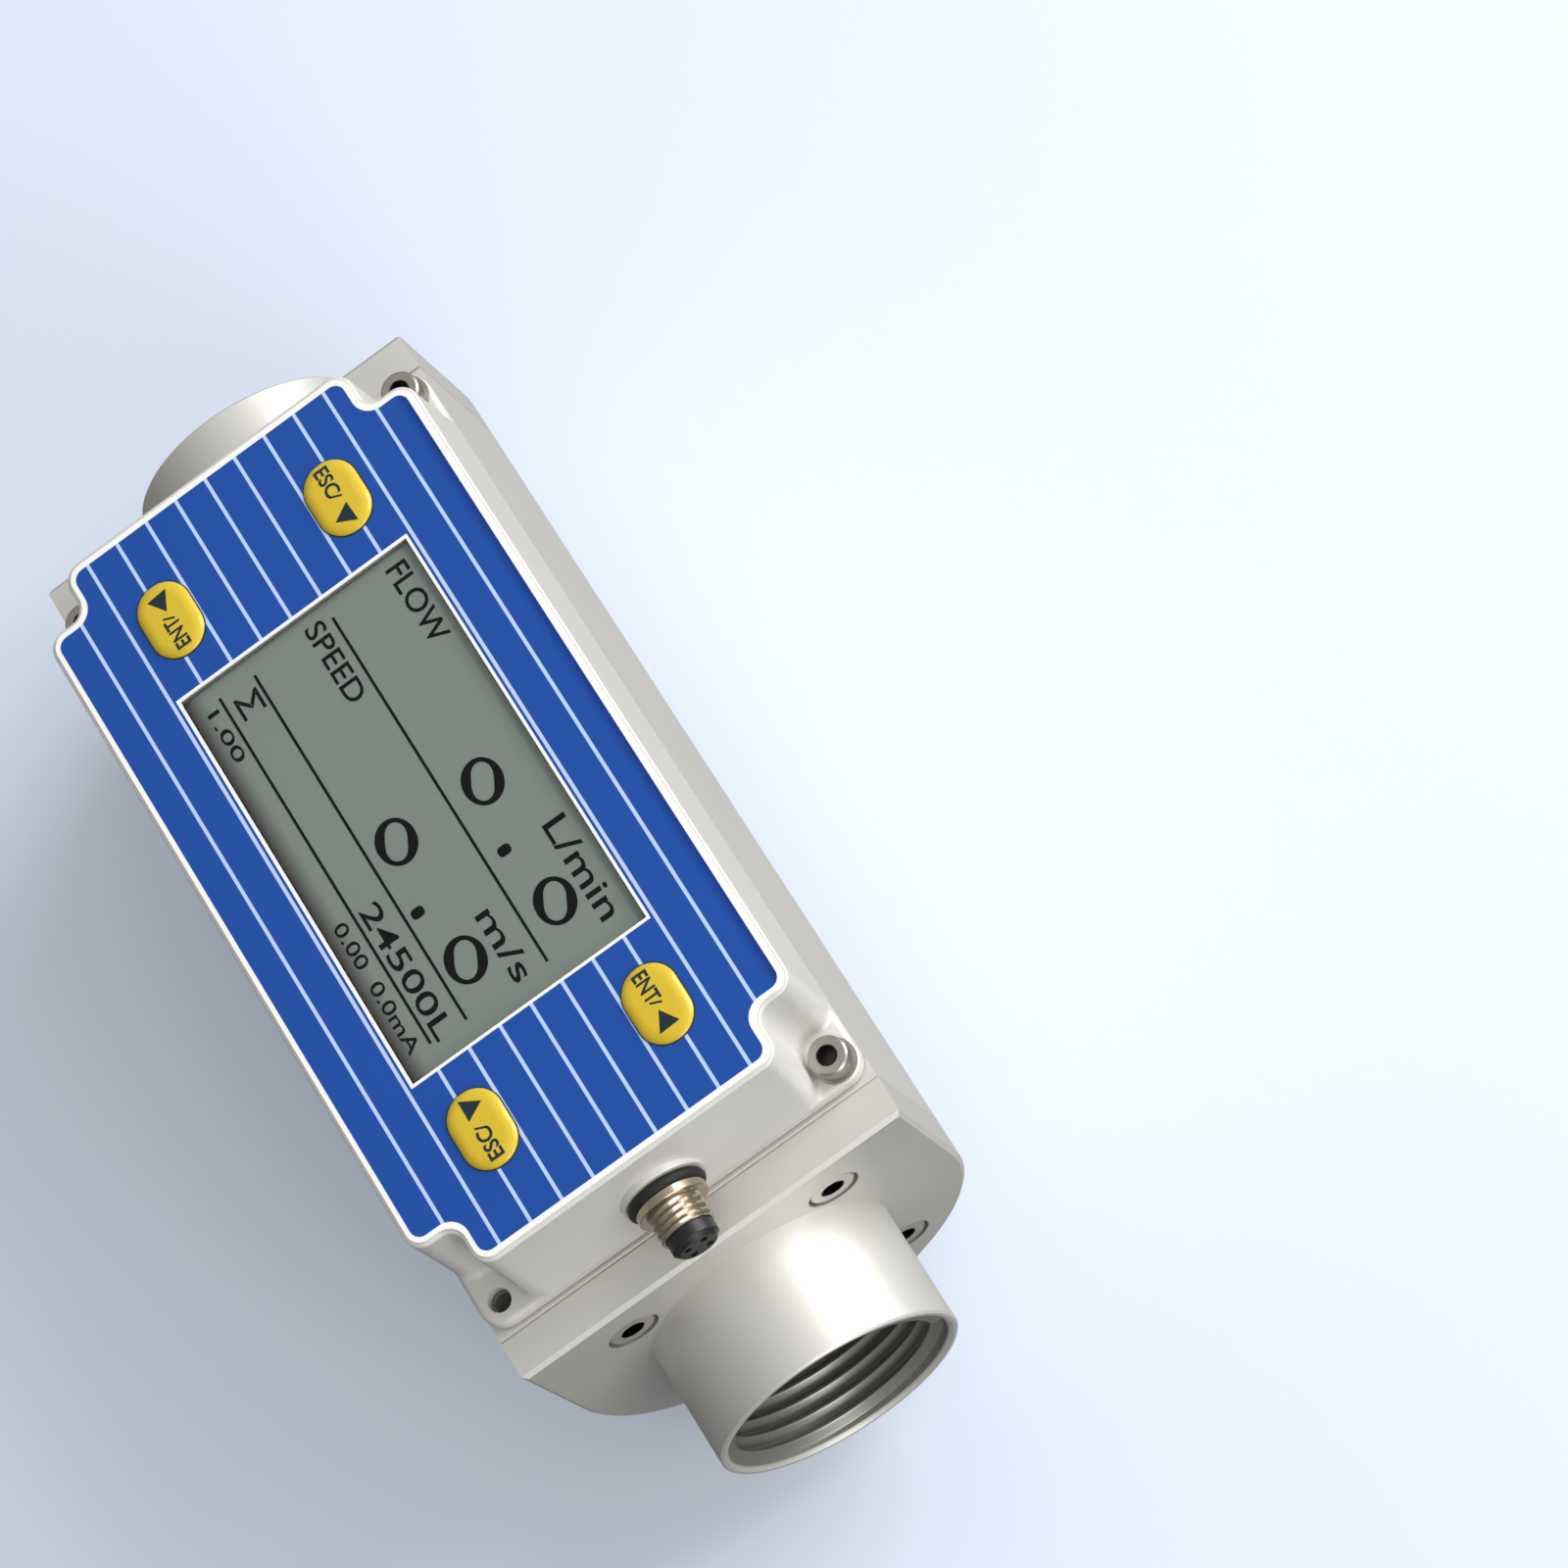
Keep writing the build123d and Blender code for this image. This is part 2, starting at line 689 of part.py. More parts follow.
# Display board: hangs from the roof's bosses, slotted at the outlet end to clear the connector
display_board_half_x = boss_x + board_rim
connector_reach = connector_rear + contact_tail
board_slot_depth = display_board_half_x - connector_pad_inside + connector_reach + board_slot_play
board_slot_width = 2 * (pad_radius + board_slot_play)
with BuildPart() as display_board:
    with BuildSketch(mid_plane.offset(display_board_under)):
        Rectangle(2 * display_board_half_x, 2 * (boss_y + board_rim))
        with Locations((display_board_half_x, 0)):
            Rectangle(2 * board_slot_depth, board_slot_width, mode=Mode.SUBTRACT)
        with Locations(*corners(boss_x, boss_y)):
            Circle(board_screw[0] + screw_clearance, mode=Mode.SUBTRACT)
    extrude(amount=board_thickness)
keep("display_board", display_board.part)
display_screw_plane = Plane(origin=(body_mid, 0, display_board_under), x_dir=(1, 0, 0), z_dir=(0, 0, -1))
keep(
    "display_board_screws",
    socket_screws(
        display_screw_plane, corners(boss_x, boss_y), board_screw, board_thickness + boss_screw_bite
    ),
)

# Keys: bevelled caps that stand through the label, held up under the roof by a lip
for place, point in key_places.items():
    with BuildPart() as key:
        with BuildSketch(mid_plane.offset(key_under)):
            with Locations(point):
                RectangleRounded(key_length + 2 * key_lip, key_width + 2 * key_lip, key_corner + key_lip)
        extrude(amount=key_lip_thickness)
        with BuildSketch(mid_plane.offset(key_lip_top)):
            with Locations(point):
                RectangleRounded(key_length, key_width, key_corner)
        extrude(amount=label_top + key_proud - key_lip_top)
        chamfer(key.edges().group_by(Axis.Z)[-1], length=key_bevel, length2=key_bevel_width)
    keep(f"key_{place}", key.part)

# Key switches: square body with a round plunger under each key
with BuildPart() as key_switches:
    with BuildSketch(mid_plane.offset(display_board_top)):
        with Locations(*key_points):
            Rectangle(switch_body, switch_body)
    extrude(amount=switch_height)
    with BuildSketch(mid_plane.offset(display_board_top + switch_height)):
        with Locations(*key_points):
            Circle(plunger_radius)
    extrude(amount=key_under - switch_gap - display_board_top - switch_height)
keep("key_switches", key_switches.part)

# Main board on four standoffs over the flow body, with its larger components
main_board_plane = mid_plane.offset(main_board_under)
with BuildPart() as main_board:
    with BuildSketch(main_board_plane):
        with Locations((main_board_shift, 0)):
            Rectangle(main_board_length, main_board_width)
        with Locations(*standoff_points):
            Circle(board_screw[0] + screw_clearance, mode=Mode.SUBTRACT)
    extrude(amount=board_thickness)
    for length, width, height, place in board_components:
        with BuildSketch(mid_plane.offset(main_board_top)):
            with Locations(place):
                Rectangle(length, width)
        extrude(amount=height)
keep("main_board", main_board.part)
with BuildPart() as board_standoffs:
    with BuildSketch(mid_plane.offset(body_top)):
        with Locations(*standoff_points):
            RegularPolygon(standoff_radius, 6)
            Circle(board_screw[0] + screw_clearance, mode=Mode.SUBTRACT)
    extrude(amount=standoff_height)
keep("board_standoffs", board_standoffs.part)
keep(
    "main_board_screws",
    socket_screws(
        mid_plane.offset(main_board_top),
        standoff_points,
        board_screw,
        board_thickness + standoff_height + board_screw_bite,
    ),
)
with BuildPart() as board_header:
    with BuildSketch(mid_plane.offset(main_board_top)):
        with Locations((main_board_shift - main_board_length / 2 + header_from_end, 0)):
            Rectangle(header_width, header_length)
    extrude(amount=display_board_under - main_board_top)
keep("board_header", board_header.part)

# Connector: flanged shell through the cover's end wall, ring outside, nut inside, insert with contacts
seal_face = connector_plane.offset(connector_seat)
shell_face = connector_plane.offset(connector_seat + connector_ring_section)
rear_face = connector_plane.offset(connector_pad_inside - connector_rear)
insert_radius = connector_thread_radius - connector_shell_wall - connector_play
shell_length = connector_ring_section + connector_flange_thickness + connector_thread_length
rear_length = connector_seat - connector_pad_inside + connector_rear
contact_points = PolarLocations(contact_circle, contact_count, start_angle=45).local_locations
with BuildPart() as connector_shell:
    with BuildSketch(rear_face):
        Circle(connector_thread_radius)
    extrude(amount=rear_length + shell_length)
    with BuildSketch(shell_face):
        Circle(connector_flange_radius)
    extrude(amount=connector_flange_thickness)
    rims = connector_shell.edges().filter_by(GeomType.CIRCLE)
    chamfer(rims.sort_by(Axis.X)[-1], connector_rim_chamfer)
    with BuildSketch(rear_face):
        Circle(insert_radius + connector_play)
    extrude(amount=rear_length + shell_length, mode=Mode.SUBTRACT)
keep("connector_shell", connector_shell.part)
keep("connector_seal", sealing_ring(seal_face, connector_ring_radius, connector_ring_section))
with BuildPart() as connector_insert:
    with BuildSketch(rear_face):
        Circle(insert_radius)
    extrude(amount=rear_length + shell_length + connector_tip)
    chamfer(connector_insert.edges().sort_by(Axis.X)[-1], connector_tip_chamfer)
    with BuildSketch(rear_face):
        with Locations(*[contact.position for contact in contact_points]):
            Circle(contact_radius + connector_play)
    extrude(amount=rear_length + shell_length + connector_tip, mode=Mode.SUBTRACT)
keep("connector_insert", connector_insert.part)
with BuildPart() as connector_contacts:
    with BuildSketch(rear_face.offset(-contact_tail)):
        with Locations(*[contact.position for contact in contact_points]):
            Circle(contact_radius)
    extrude(amount=contact_tail + rear_length + shell_length + connector_tip - contact_sink)
keep("connector_contacts", connector_contacts.part)
with BuildPart() as connector_nut:
    with BuildSketch(connector_plane.offset(connector_pad_inside)):
        RegularPolygon(nut_across_flats / 2, 6, major_radius=False)
        Circle(connector_thread_radius + connector_play, mode=Mode.SUBTRACT)
    extrude(amount=-nut_thickness)
keep("connector_nut", connector_nut.part)
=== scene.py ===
"""Looks of an in-line thermal gas mass flow meter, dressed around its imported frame.

Lengths are in metres and places are in the frame's own axes: +X runs with the flow and +Z to the display.
"""

import json
import logging
import math
from dataclasses import dataclass
from enum import Enum

import bmesh
import bpy
import numpy as np
from bpy.types import Curve, Material, Mesh, Node, NodeOutputs, NodeSocket, NodeTree, Object
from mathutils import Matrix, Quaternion, Vector


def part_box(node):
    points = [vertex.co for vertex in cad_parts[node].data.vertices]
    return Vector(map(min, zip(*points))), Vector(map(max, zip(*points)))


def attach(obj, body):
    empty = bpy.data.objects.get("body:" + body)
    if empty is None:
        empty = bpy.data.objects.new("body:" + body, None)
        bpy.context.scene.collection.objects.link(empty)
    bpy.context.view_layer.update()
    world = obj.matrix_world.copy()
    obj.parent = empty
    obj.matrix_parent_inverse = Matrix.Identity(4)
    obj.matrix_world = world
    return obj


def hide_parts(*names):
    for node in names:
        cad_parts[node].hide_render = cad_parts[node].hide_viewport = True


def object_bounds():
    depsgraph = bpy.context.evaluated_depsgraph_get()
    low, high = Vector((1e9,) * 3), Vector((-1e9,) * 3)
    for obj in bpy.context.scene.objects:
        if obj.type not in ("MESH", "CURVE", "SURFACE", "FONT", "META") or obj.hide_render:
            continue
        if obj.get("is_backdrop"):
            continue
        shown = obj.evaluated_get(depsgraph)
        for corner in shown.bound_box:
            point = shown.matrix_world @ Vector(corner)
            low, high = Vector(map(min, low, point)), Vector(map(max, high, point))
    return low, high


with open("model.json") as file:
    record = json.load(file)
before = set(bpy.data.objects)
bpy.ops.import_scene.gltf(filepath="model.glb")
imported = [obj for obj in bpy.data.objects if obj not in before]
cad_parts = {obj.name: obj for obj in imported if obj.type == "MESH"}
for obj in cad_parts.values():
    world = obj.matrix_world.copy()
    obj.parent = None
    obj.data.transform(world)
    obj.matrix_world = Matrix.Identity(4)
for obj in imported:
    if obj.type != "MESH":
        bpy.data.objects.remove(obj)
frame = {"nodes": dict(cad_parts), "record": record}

LOG = logging.getLogger("flow_meter")
MM = 0.001
Pair = tuple[float, float]
Triple = tuple[float, float, float]
METER = "meter"
SHORTEST = 1e-12
# Sockets of a Mix node that blends two colours
MIX_COLOURS = (6, 7)
MIX_RESULT = 2
# How many times longer than wide the lines of a turned surface are
TURNED_STRETCH = 60


class Texture(Enum):
    """How a surface was worked, which sets the direction of its grain."""

    BLASTED = "blasted"
    CAST = "cast"
    TURNED = "turned"
    MOULDED = "moulded"


class KeyMark(Enum):
    """The word printed on a key."""

    ENTER = "ENT"
    ESCAPE = "ESC"


def linear(red: float, green: float, blue: float) -> tuple[float, float, float, float]:
    """Turn a screen colour, 0 to 255, into the linear colour that shaders take, by the sRGB curve.

    Args:
        red: Red of the screen colour.
        green: Green of the screen colour.
        blue: Blue of the screen colour.

    Returns:
        Linear red, green, blue and an alpha of one.
    """
    screen = np.array([red, green, blue]) / 255
    low = screen / 12.92
    high = ((screen + 0.055) / 1.055) ** 2.4
    return (*np.where(screen <= 0.04045, low, high).tolist(), 1.0)


def new_group(name: str, inputs: dict[str, str], outputs: dict[str, str]) -> NodeTree:
    """Make an empty shader node group with named sockets.

    Args:
        name: Name of the group.
        inputs: Kind of each input, such as Float, by name.
        outputs: Kind of each output, by name.

    Returns:
        The group, with its input and output nodes in place.
    """
    group = bpy.data.node_groups.new(name, "ShaderNodeTree")
    for direction, sockets in (("INPUT", inputs), ("OUTPUT", outputs)):
        for label, kind in sockets.items():
            group.interface.new_socket(label, in_out=direction, socket_type=f"NodeSocket{kind}")
    group.nodes.new("NodeGroupInput").name = "in"
    group.nodes.new("NodeGroupOutput").name = "out"
    return group


def connect(tree: NodeTree, value: object, socket: NodeSocket) -> None:
    """Feed an input socket with a plain value or from another socket.

    Args:
        tree: Node tree of the socket.
        value: A number, a colour or an output socket.
        socket: The input socket.
    """
    if isinstance(value, NodeSocket):
        tree.links.new(value, socket)
    else:
        socket.default_value = value


def group_node(tree: NodeTree, group: NodeTree, **values: object) -> Node:
    """Add a shared group to a tree.

    Args:
        tree: Node tree that gets the node.
        group: The shared group.
        values: A value or a socket for each input, by name.

    Returns:
        The node.
    """
    node = tree.nodes.new("ShaderNodeGroup")
    node.node_tree = group
    for label, value in values.items():
        connect(tree, value, node.inputs[label])
    return node


def math_node(tree: NodeTree, operation: str, *values: object) -> NodeSocket:
    """Add a Math node whose inputs are numbers or sockets.

    Args:
        tree: Node tree that gets the node.
        operation: Name of the operation.
        values: A number or a socket for each input.

    Returns:
        The node's output socket.
    """
    node = tree.nodes.new("ShaderNodeMath")
    node.operation = operation
    for socket, value in zip(node.inputs, values):
        connect(tree, value, socket)
    return node.outputs[0]


def noise_node(tree: NodeTree, place: object, scale: object, detail: float) -> NodeSocket:
    """Add a Noise Texture node.

    Args:
        tree: Node tree that gets the node.
        place: Socket with the coordinates.
        scale: Scale of the noise, a number or a socket.
        detail: Number of octaves.

    Returns:
        Socket with the noise, 0 to 1.
    """
    node = tree.nodes.new("ShaderNodeTexNoise")
    node.inputs["Detail"].default_value = detail
    connect(tree, scale, node.inputs["Scale"])
    tree.links.new(place, node.inputs["Vector"])
    return node.outputs[0]


def swing(tree: NodeTree, noise: object, spread: object, middle: object) -> NodeSocket:
    """Let a value swing with a noise: middle + spread * (noise - 1/2).

    Args:
        tree: Node tree that gets the nodes.
        noise: Socket with the noise.
        spread: How far the value swings from end to end.
        middle: The value's middle.

    Returns:
        Socket with the value.
    """
    offset = math_node(tree, "MULTIPLY", math_node(tree, "SUBTRACT", noise, 0.5), spread)
    return math_node(tree, "ADD", offset, middle)


def ramp(tree: NodeTree, value: object, start: float, end: float, low: float = 0.0,
         high: float = 1.0) -> NodeSocket:
    """Add a smooth Map Range node.

    Args:
        tree: Node tree that gets the node.
        value: Socket that is mapped.
        start: Value that gives low.
        end: Value that gives high.
        low: Result at start.
        high: Result at end.

    Returns:
        The node's result socket.
    """
    node = tree.nodes.new("ShaderNodeMapRange")
    node.interpolation_type = "SMOOTHSTEP"
    tree.links.new(value, node.inputs["Value"])
    for label, number in (("From Min", start), ("From Max", end), ("To Min", low), ("To Max", high)):
        node.inputs[label].default_value = number
    return node.outputs["Result"]


def place_axes(tree: NodeTree, source: str = "Object") -> NodeOutputs:
    """Add coordinates split into their three axes.

    Args:
        tree: Node tree that gets the nodes.
        source: Which coordinates.

    Returns:
        The sockets X, Y and Z.
    """
    coordinates = tree.nodes.new("ShaderNodeTexCoord")
    axes = tree.nodes.new("ShaderNodeSeparateXYZ")
    tree.links.new(coordinates.outputs[source], axes.inputs[0])
    return axes.outputs


def blend_colours(tree: NodeTree, mask: object, first: object, second: object) -> NodeSocket:
    """Add a Mix node between two colours.

    Args:
        tree: Node tree that gets the node.
        mask: Socket that is 0 for the first colour and 1 for the second.
        first: A colour or a socket.
        second: A colour or a socket.

    Returns:
        The mixed colour's socket.
    """
    node = tree.nodes.new("ShaderNodeMix")
    node.data_type = "RGBA"
    tree.links.new(mask, node.inputs["Factor"])
    for index, colour in zip(MIX_COLOURS, (first, second)):
        connect(tree, colour, node.inputs[index])
    return node.outputs[MIX_RESULT]


class Effects:
    """Shader node groups that several finishes share, each built once."""

    def __init__(self) -> None:
        """Build every group."""
        self.grain = self.build_grain()
        self.tone = self.build_tone()
        self.lines = self.build_lines()
        self.round_spot = self.build_round_spot()

    def build_grain(self) -> NodeTree:
        """Noise stretched by a frequency for each axis, put out as height and as roughness.

        Returns:
            The group with inputs Frequency, Roughness and Spread, and outputs Height and Roughness.
        """
        group = new_group(
            "surface_grain",
            {"Frequency": "Vector", "Roughness": "Float", "Spread": "Float"},
            {"Height": "Float", "Roughness": "Float"},
        )
        given, out = group.nodes["in"].outputs, group.nodes["out"].inputs
        coordinates = group.nodes.new("ShaderNodeTexCoord")
        stretched = group.nodes.new("ShaderNodeVectorMath")
        stretched.operation = "MULTIPLY"
        group.links.new(coordinates.outputs["Object"], stretched.inputs[0])
        group.links.new(given["Frequency"], stretched.inputs[1])
        noise = noise_node(group, stretched.outputs[0], 1.0, 3.0)
        group.links.new(noise, out["Height"])
        group.links.new(swing(group, noise, given["Spread"], given["Roughness"]), out["Roughness"])
        return group

    def build_tone(self) -> NodeTree:
        """Colour that wanders a little lighter and darker over the surface.

        Returns:
            The group with inputs Colour, Spread and Frequency, and output Colour.
        """
        group = new_group(
            "wandering_tone",
            {"Colour": "Color", "Spread": "Float", "Frequency": "Float"},
            {"Colour": "Color"},
        )
        given, out = group.nodes["in"].outputs, group.nodes["out"].inputs
        coordinates = group.nodes.new("ShaderNodeTexCoord")
        noise = noise_node(group, coordinates.outputs["Object"], given["Frequency"], 4.0)
        scaled = group.nodes.new("ShaderNodeVectorMath")
        scaled.operation = "SCALE"
        group.links.new(given["Colour"], scaled.inputs[0])
        group.links.new(swing(group, noise, given["Spread"], 1.0), scaled.inputs["Scale"])
        group.links.new(scaled.outputs[0], out["Colour"])
        return group

    def build_lines(self) -> NodeTree:
        """Straight printed lines along X, repeated at a pitch across Y.

        The distance to the nearest line is |fract(y / pitch + 1/2) - 1/2| * pitch.

        Returns:
            The group with inputs Pitch and Width, and output Mask.
        """
        group = new_group("printed_lines", {"Pitch": "Float", "Width": "Float"}, {"Mask": "Float"})
        given, out = group.nodes["in"].outputs, group.nodes["out"].inputs
        turns = math_node(group, "DIVIDE", place_axes(group)["Y"], given["Pitch"])
        part = math_node(group, "FRACT", math_node(group, "ADD", turns, 0.5))
        away = math_node(group, "ABSOLUTE", math_node(group, "SUBTRACT", part, 0.5))
        distance = math_node(group, "MULTIPLY", away, given["Pitch"])
        ratio = math_node(group, "DIVIDE", distance, given["Width"])
        group.links.new(ramp(group, ratio, 0.6, 0.4), out["Mask"])
        return group

    def build_round_spot(self) -> NodeTree:
        """Round spot, where the root of across squared plus along squared is under the radius.

        Returns:
            The group with inputs Across, Along and Radius, and output Mask.
        """
        group = new_group("round_spot", {"Across": "Float", "Along": "Float", "Radius": "Float"},
                          {"Mask": "Float"})
        given, out = group.nodes["in"].outputs, group.nodes["out"].inputs
        squares = [math_node(group, "POWER", given[side], 2.0) for side in ("Across", "Along")]
        distance = math_node(group, "SQRT", math_node(group, "ADD", *squares))
        ratio = math_node(group, "DIVIDE", distance, given["Radius"])
        group.links.new(ramp(group, ratio, 1.01, 0.97), out["Mask"])
        return group


@dataclass(frozen=True)
class Layer:
    """Part of a surface that takes a colour of its own: print, or painted shade.

    Attributes:
        colour: Screen colour of the part, 0 to 255.
    """

    colour: Triple

    def mask(self, tree: NodeTree, effects: Effects) -> NodeSocket:
        """Add the nodes that mark the part, with one where the colour is full."""
        raise NotImplementedError


@dataclass(frozen=True)
class HollowShade(Layer):
    """Painted shade in a bore or socket, repeated by mirror symmetry: a dark colour put inside the hollow
    where shade falls.

    Attributes:
        axes: The two axes across the hollow.
        centre: Distance of its axis from the symmetry planes.
        middle: Place of the symmetry planes.
        radius: Radius inside which the surface is shaded.
    """

    axes: tuple[str, str]
    centre: Pair
    middle: Pair
    radius: float

    def mask(self, tree: NodeTree, effects: Effects) -> NodeSocket:
        """Mark the hollow with a round spot.

        Args:
            tree: Node tree of the material.
            effects: The shared groups.

        Returns:
            Socket of the mask.
        """
        places = place_axes(tree)
        offsets = []
        for axis, middle, centre in zip(self.axes, self.middle, self.centre):
            folded = math_node(tree, "ABSOLUTE", math_node(tree, "SUBTRACT", places[axis], middle))
            offsets.append(math_node(tree, "SUBTRACT", folded, centre))
        spot = group_node(tree, effects.round_spot, Across=offsets[0], Along=offsets[1], Radius=self.radius)
        return spot.outputs["Mask"]


@dataclass(frozen=True)
class Shade(Layer):
    """Painted shade: a darker colour that takes over along an axis, where shade falls.

    Attributes:
        axis: The axis.
        start: Place where the shade begins.
        end: Place from which it is full.
    """

    axis: str
    start: float
    end: float

    def mask(self, tree: NodeTree, effects: Effects) -> NodeSocket:
        """Mark the shade with a ramp along the axis."""
        return ramp(tree, place_axes(tree)[self.axis], self.start, self.end)


@dataclass(frozen=True)
class Lines(Layer):
    """Printed lines along X.

    Attributes:
        pitch: Distance between the lines.
        width: Width of a line.
    """

    pitch: float
    width: float

    def mask(self, tree: NodeTree, effects: Effects) -> NodeSocket:
        """Mark the lines with their shared group."""
        return group_node(tree, effects.lines, Pitch=self.pitch, Width=self.width).outputs["Mask"]


@dataclass(frozen=True)
class Finish:
    """One surface finish, in the colours and sizes that a maker would order.

    Attributes:
        name: Plain name of the finish.
        colour: Screen colour, 0 to 255.
        texture: How the surface was worked.
        roughness: Middle roughness.
        metallic: One for bare metal.
        grain: Size of the grain.
        depth: Height of the grain.
        tone_spread: How far the colour wanders, as a share.
        roughness_spread: How far the roughness wanders.
        coat: Weight of a clear coat.
        specular: Specular level of the Principled shader.
        tone_frequency: Scale of the noise that moves the colour.
        layers: Parts with a colour of their own, print or painted shade, the lowest first.
    """

    name: str
    colour: Triple
    texture: Texture
    roughness: float
    metallic: float = 0.0
    grain: float = 0.4 * MM
    depth: float = 0.01 * MM
    tone_spread: float = 0.08
    roughness_spread: float = 0.12
    coat: float = 0.0
    specular: float = 0.5
    tone_frequency: float = 60.0
    layers: tuple[Layer, ...] = ()

    def frequency(self) -> Triple:
        """Grain frequency along each axis; a turned surface has its lines across X.

        Returns:
            The frequencies along X, Y and Z.
        """
        fine = 1 / self.grain
        around = fine / TURNED_STRETCH if self.texture is Texture.TURNED else fine
        return (fine, around, around)

    def base_colour(self, tree: NodeTree, effects: Effects) -> NodeSocket:
        """Add the nodes for the ground's colour and the layers on it.

        Args:
            tree: Node tree of the material.
            effects: The shared groups.

        Returns:
            Socket with the base colour.
        """
        tone = group_node(tree, effects.tone, Colour=linear(*self.colour), Spread=self.tone_spread,
                          Frequency=self.tone_frequency)
        colour = tone.outputs["Colour"]
        for layer in self.layers:
            colour = blend_colours(tree, layer.mask(tree, effects), colour, linear(*layer.colour))
        return colour

    def build(self, effects: Effects) -> Material:
        """Make the material.

        Args:
            effects: The shared groups.

        Returns:
            The finished material.
        """
        material = bpy.data.materials.new(self.name)
        material.use_nodes = True
        tree = material.node_tree
        shader = tree.nodes["Principled BSDF"]
        shader.inputs["Metallic"].default_value = self.metallic
        shader.inputs["Coat Weight"].default_value = self.coat
        shader.inputs["Specular IOR Level"].default_value = self.specular
        grain = group_node(tree, effects.grain, Frequency=self.frequency(), Roughness=self.roughness,
                           Spread=self.roughness_spread)
        bump = tree.nodes.new("ShaderNodeBump")
        bump.inputs["Distance"].default_value = self.depth
        tree.links.new(grain.outputs["Height"], bump.inputs["Height"])
        tree.links.new(bump.outputs[0], shader.inputs["Normal"])
        tree.links.new(grain.outputs["Roughness"], shader.inputs["Roughness"])
        tree.links.new(self.base_colour(tree, effects), shader.inputs["Base Color"])
        self.finish_material(tree, shader)
        return material

    def finish_material(self, tree: NodeTree, shader: Node) -> None:
        """Add what only one kind of finish has; a plain finish adds nothing."""


@dataclass(frozen=True)
class ClearPane(Finish):
    """Clear pane: it shows more of itself at a slant, and lamps reach what lies behind it.

    Attributes:
        least_alpha: Alpha where it is seen squarely.
        most_alpha: Alpha at a grazing view.
        slant_blend: How early the slant counts.
    """

    least_alpha: float = 0.025
    most_alpha: float = 0.7
    slant_blend: float = 0.25

    def finish_material(self, tree: NodeTree, shader: Node) -> None:
        """Let alpha follow the slant of the view.

        Args:
            tree: Node tree of the material.
            shader: Its Principled shader.
        """
        weight = tree.nodes.new("ShaderNodeLayerWeight")
        weight.inputs["Blend"].default_value = self.slant_blend
        alpha = ramp(tree, weight.outputs["Fresnel"], 0.0, 1.0, self.least_alpha, self.most_alpha)
        tree.links.new(alpha, shader.inputs["Alpha"])


# Places of the screws, from the boxes of their nodes and the radii of a head and of a washer
FLANGE_HEAD_RADIUS = 3.5 * MM
WASHER_RADIUS = 3.05 * MM
WASHERS_LOW, WASHERS_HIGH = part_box("cover_washers")
FLANGE_SCREW_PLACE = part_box("outlet_fitting_screws")[1].y - FLANGE_HEAD_RADIUS
EAR_HOLE_PLACE = (
    (WASHERS_HIGH.x - WASHERS_LOW.x) / 2 - WASHER_RADIUS,
    (WASHERS_HIGH.y - WASHERS_LOW.y) / 2 - WASHER_RADIUS,
)
METER_MIDDLE = (WASHERS_LOW.x + WASHERS_HIGH.x) / 2
LABEL_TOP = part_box("face_label")[1].z

FLANGE_SCREW_AXES = (("Y", "Z"), (FLANGE_SCREW_PLACE, FLANGE_SCREW_PLACE), (0.0, 0.0))
# Painted shade: dark colours put inside the port bores, the counterbores and the screws' sockets, where
# shade falls
PORT_BORE_SHADE = HollowShade((44, 44, 43), ("Y", "Z"), (0.0, 0.0), (0.0, 0.0), 16.8 * MM)
COUNTERBORE_SHADE = HollowShade((44, 44, 43), *FLANGE_SCREW_AXES, 3.74 * MM)
FLANGE_SOCKET_SHADE = HollowShade((20, 20, 20), *FLANGE_SCREW_AXES, 1.76 * MM)
COVER_SOCKET_SHADE = HollowShade((58, 56, 52), ("X", "Y"), EAR_HOLE_PLACE, (METER_MIDDLE, 0.0), 1.46 * MM)

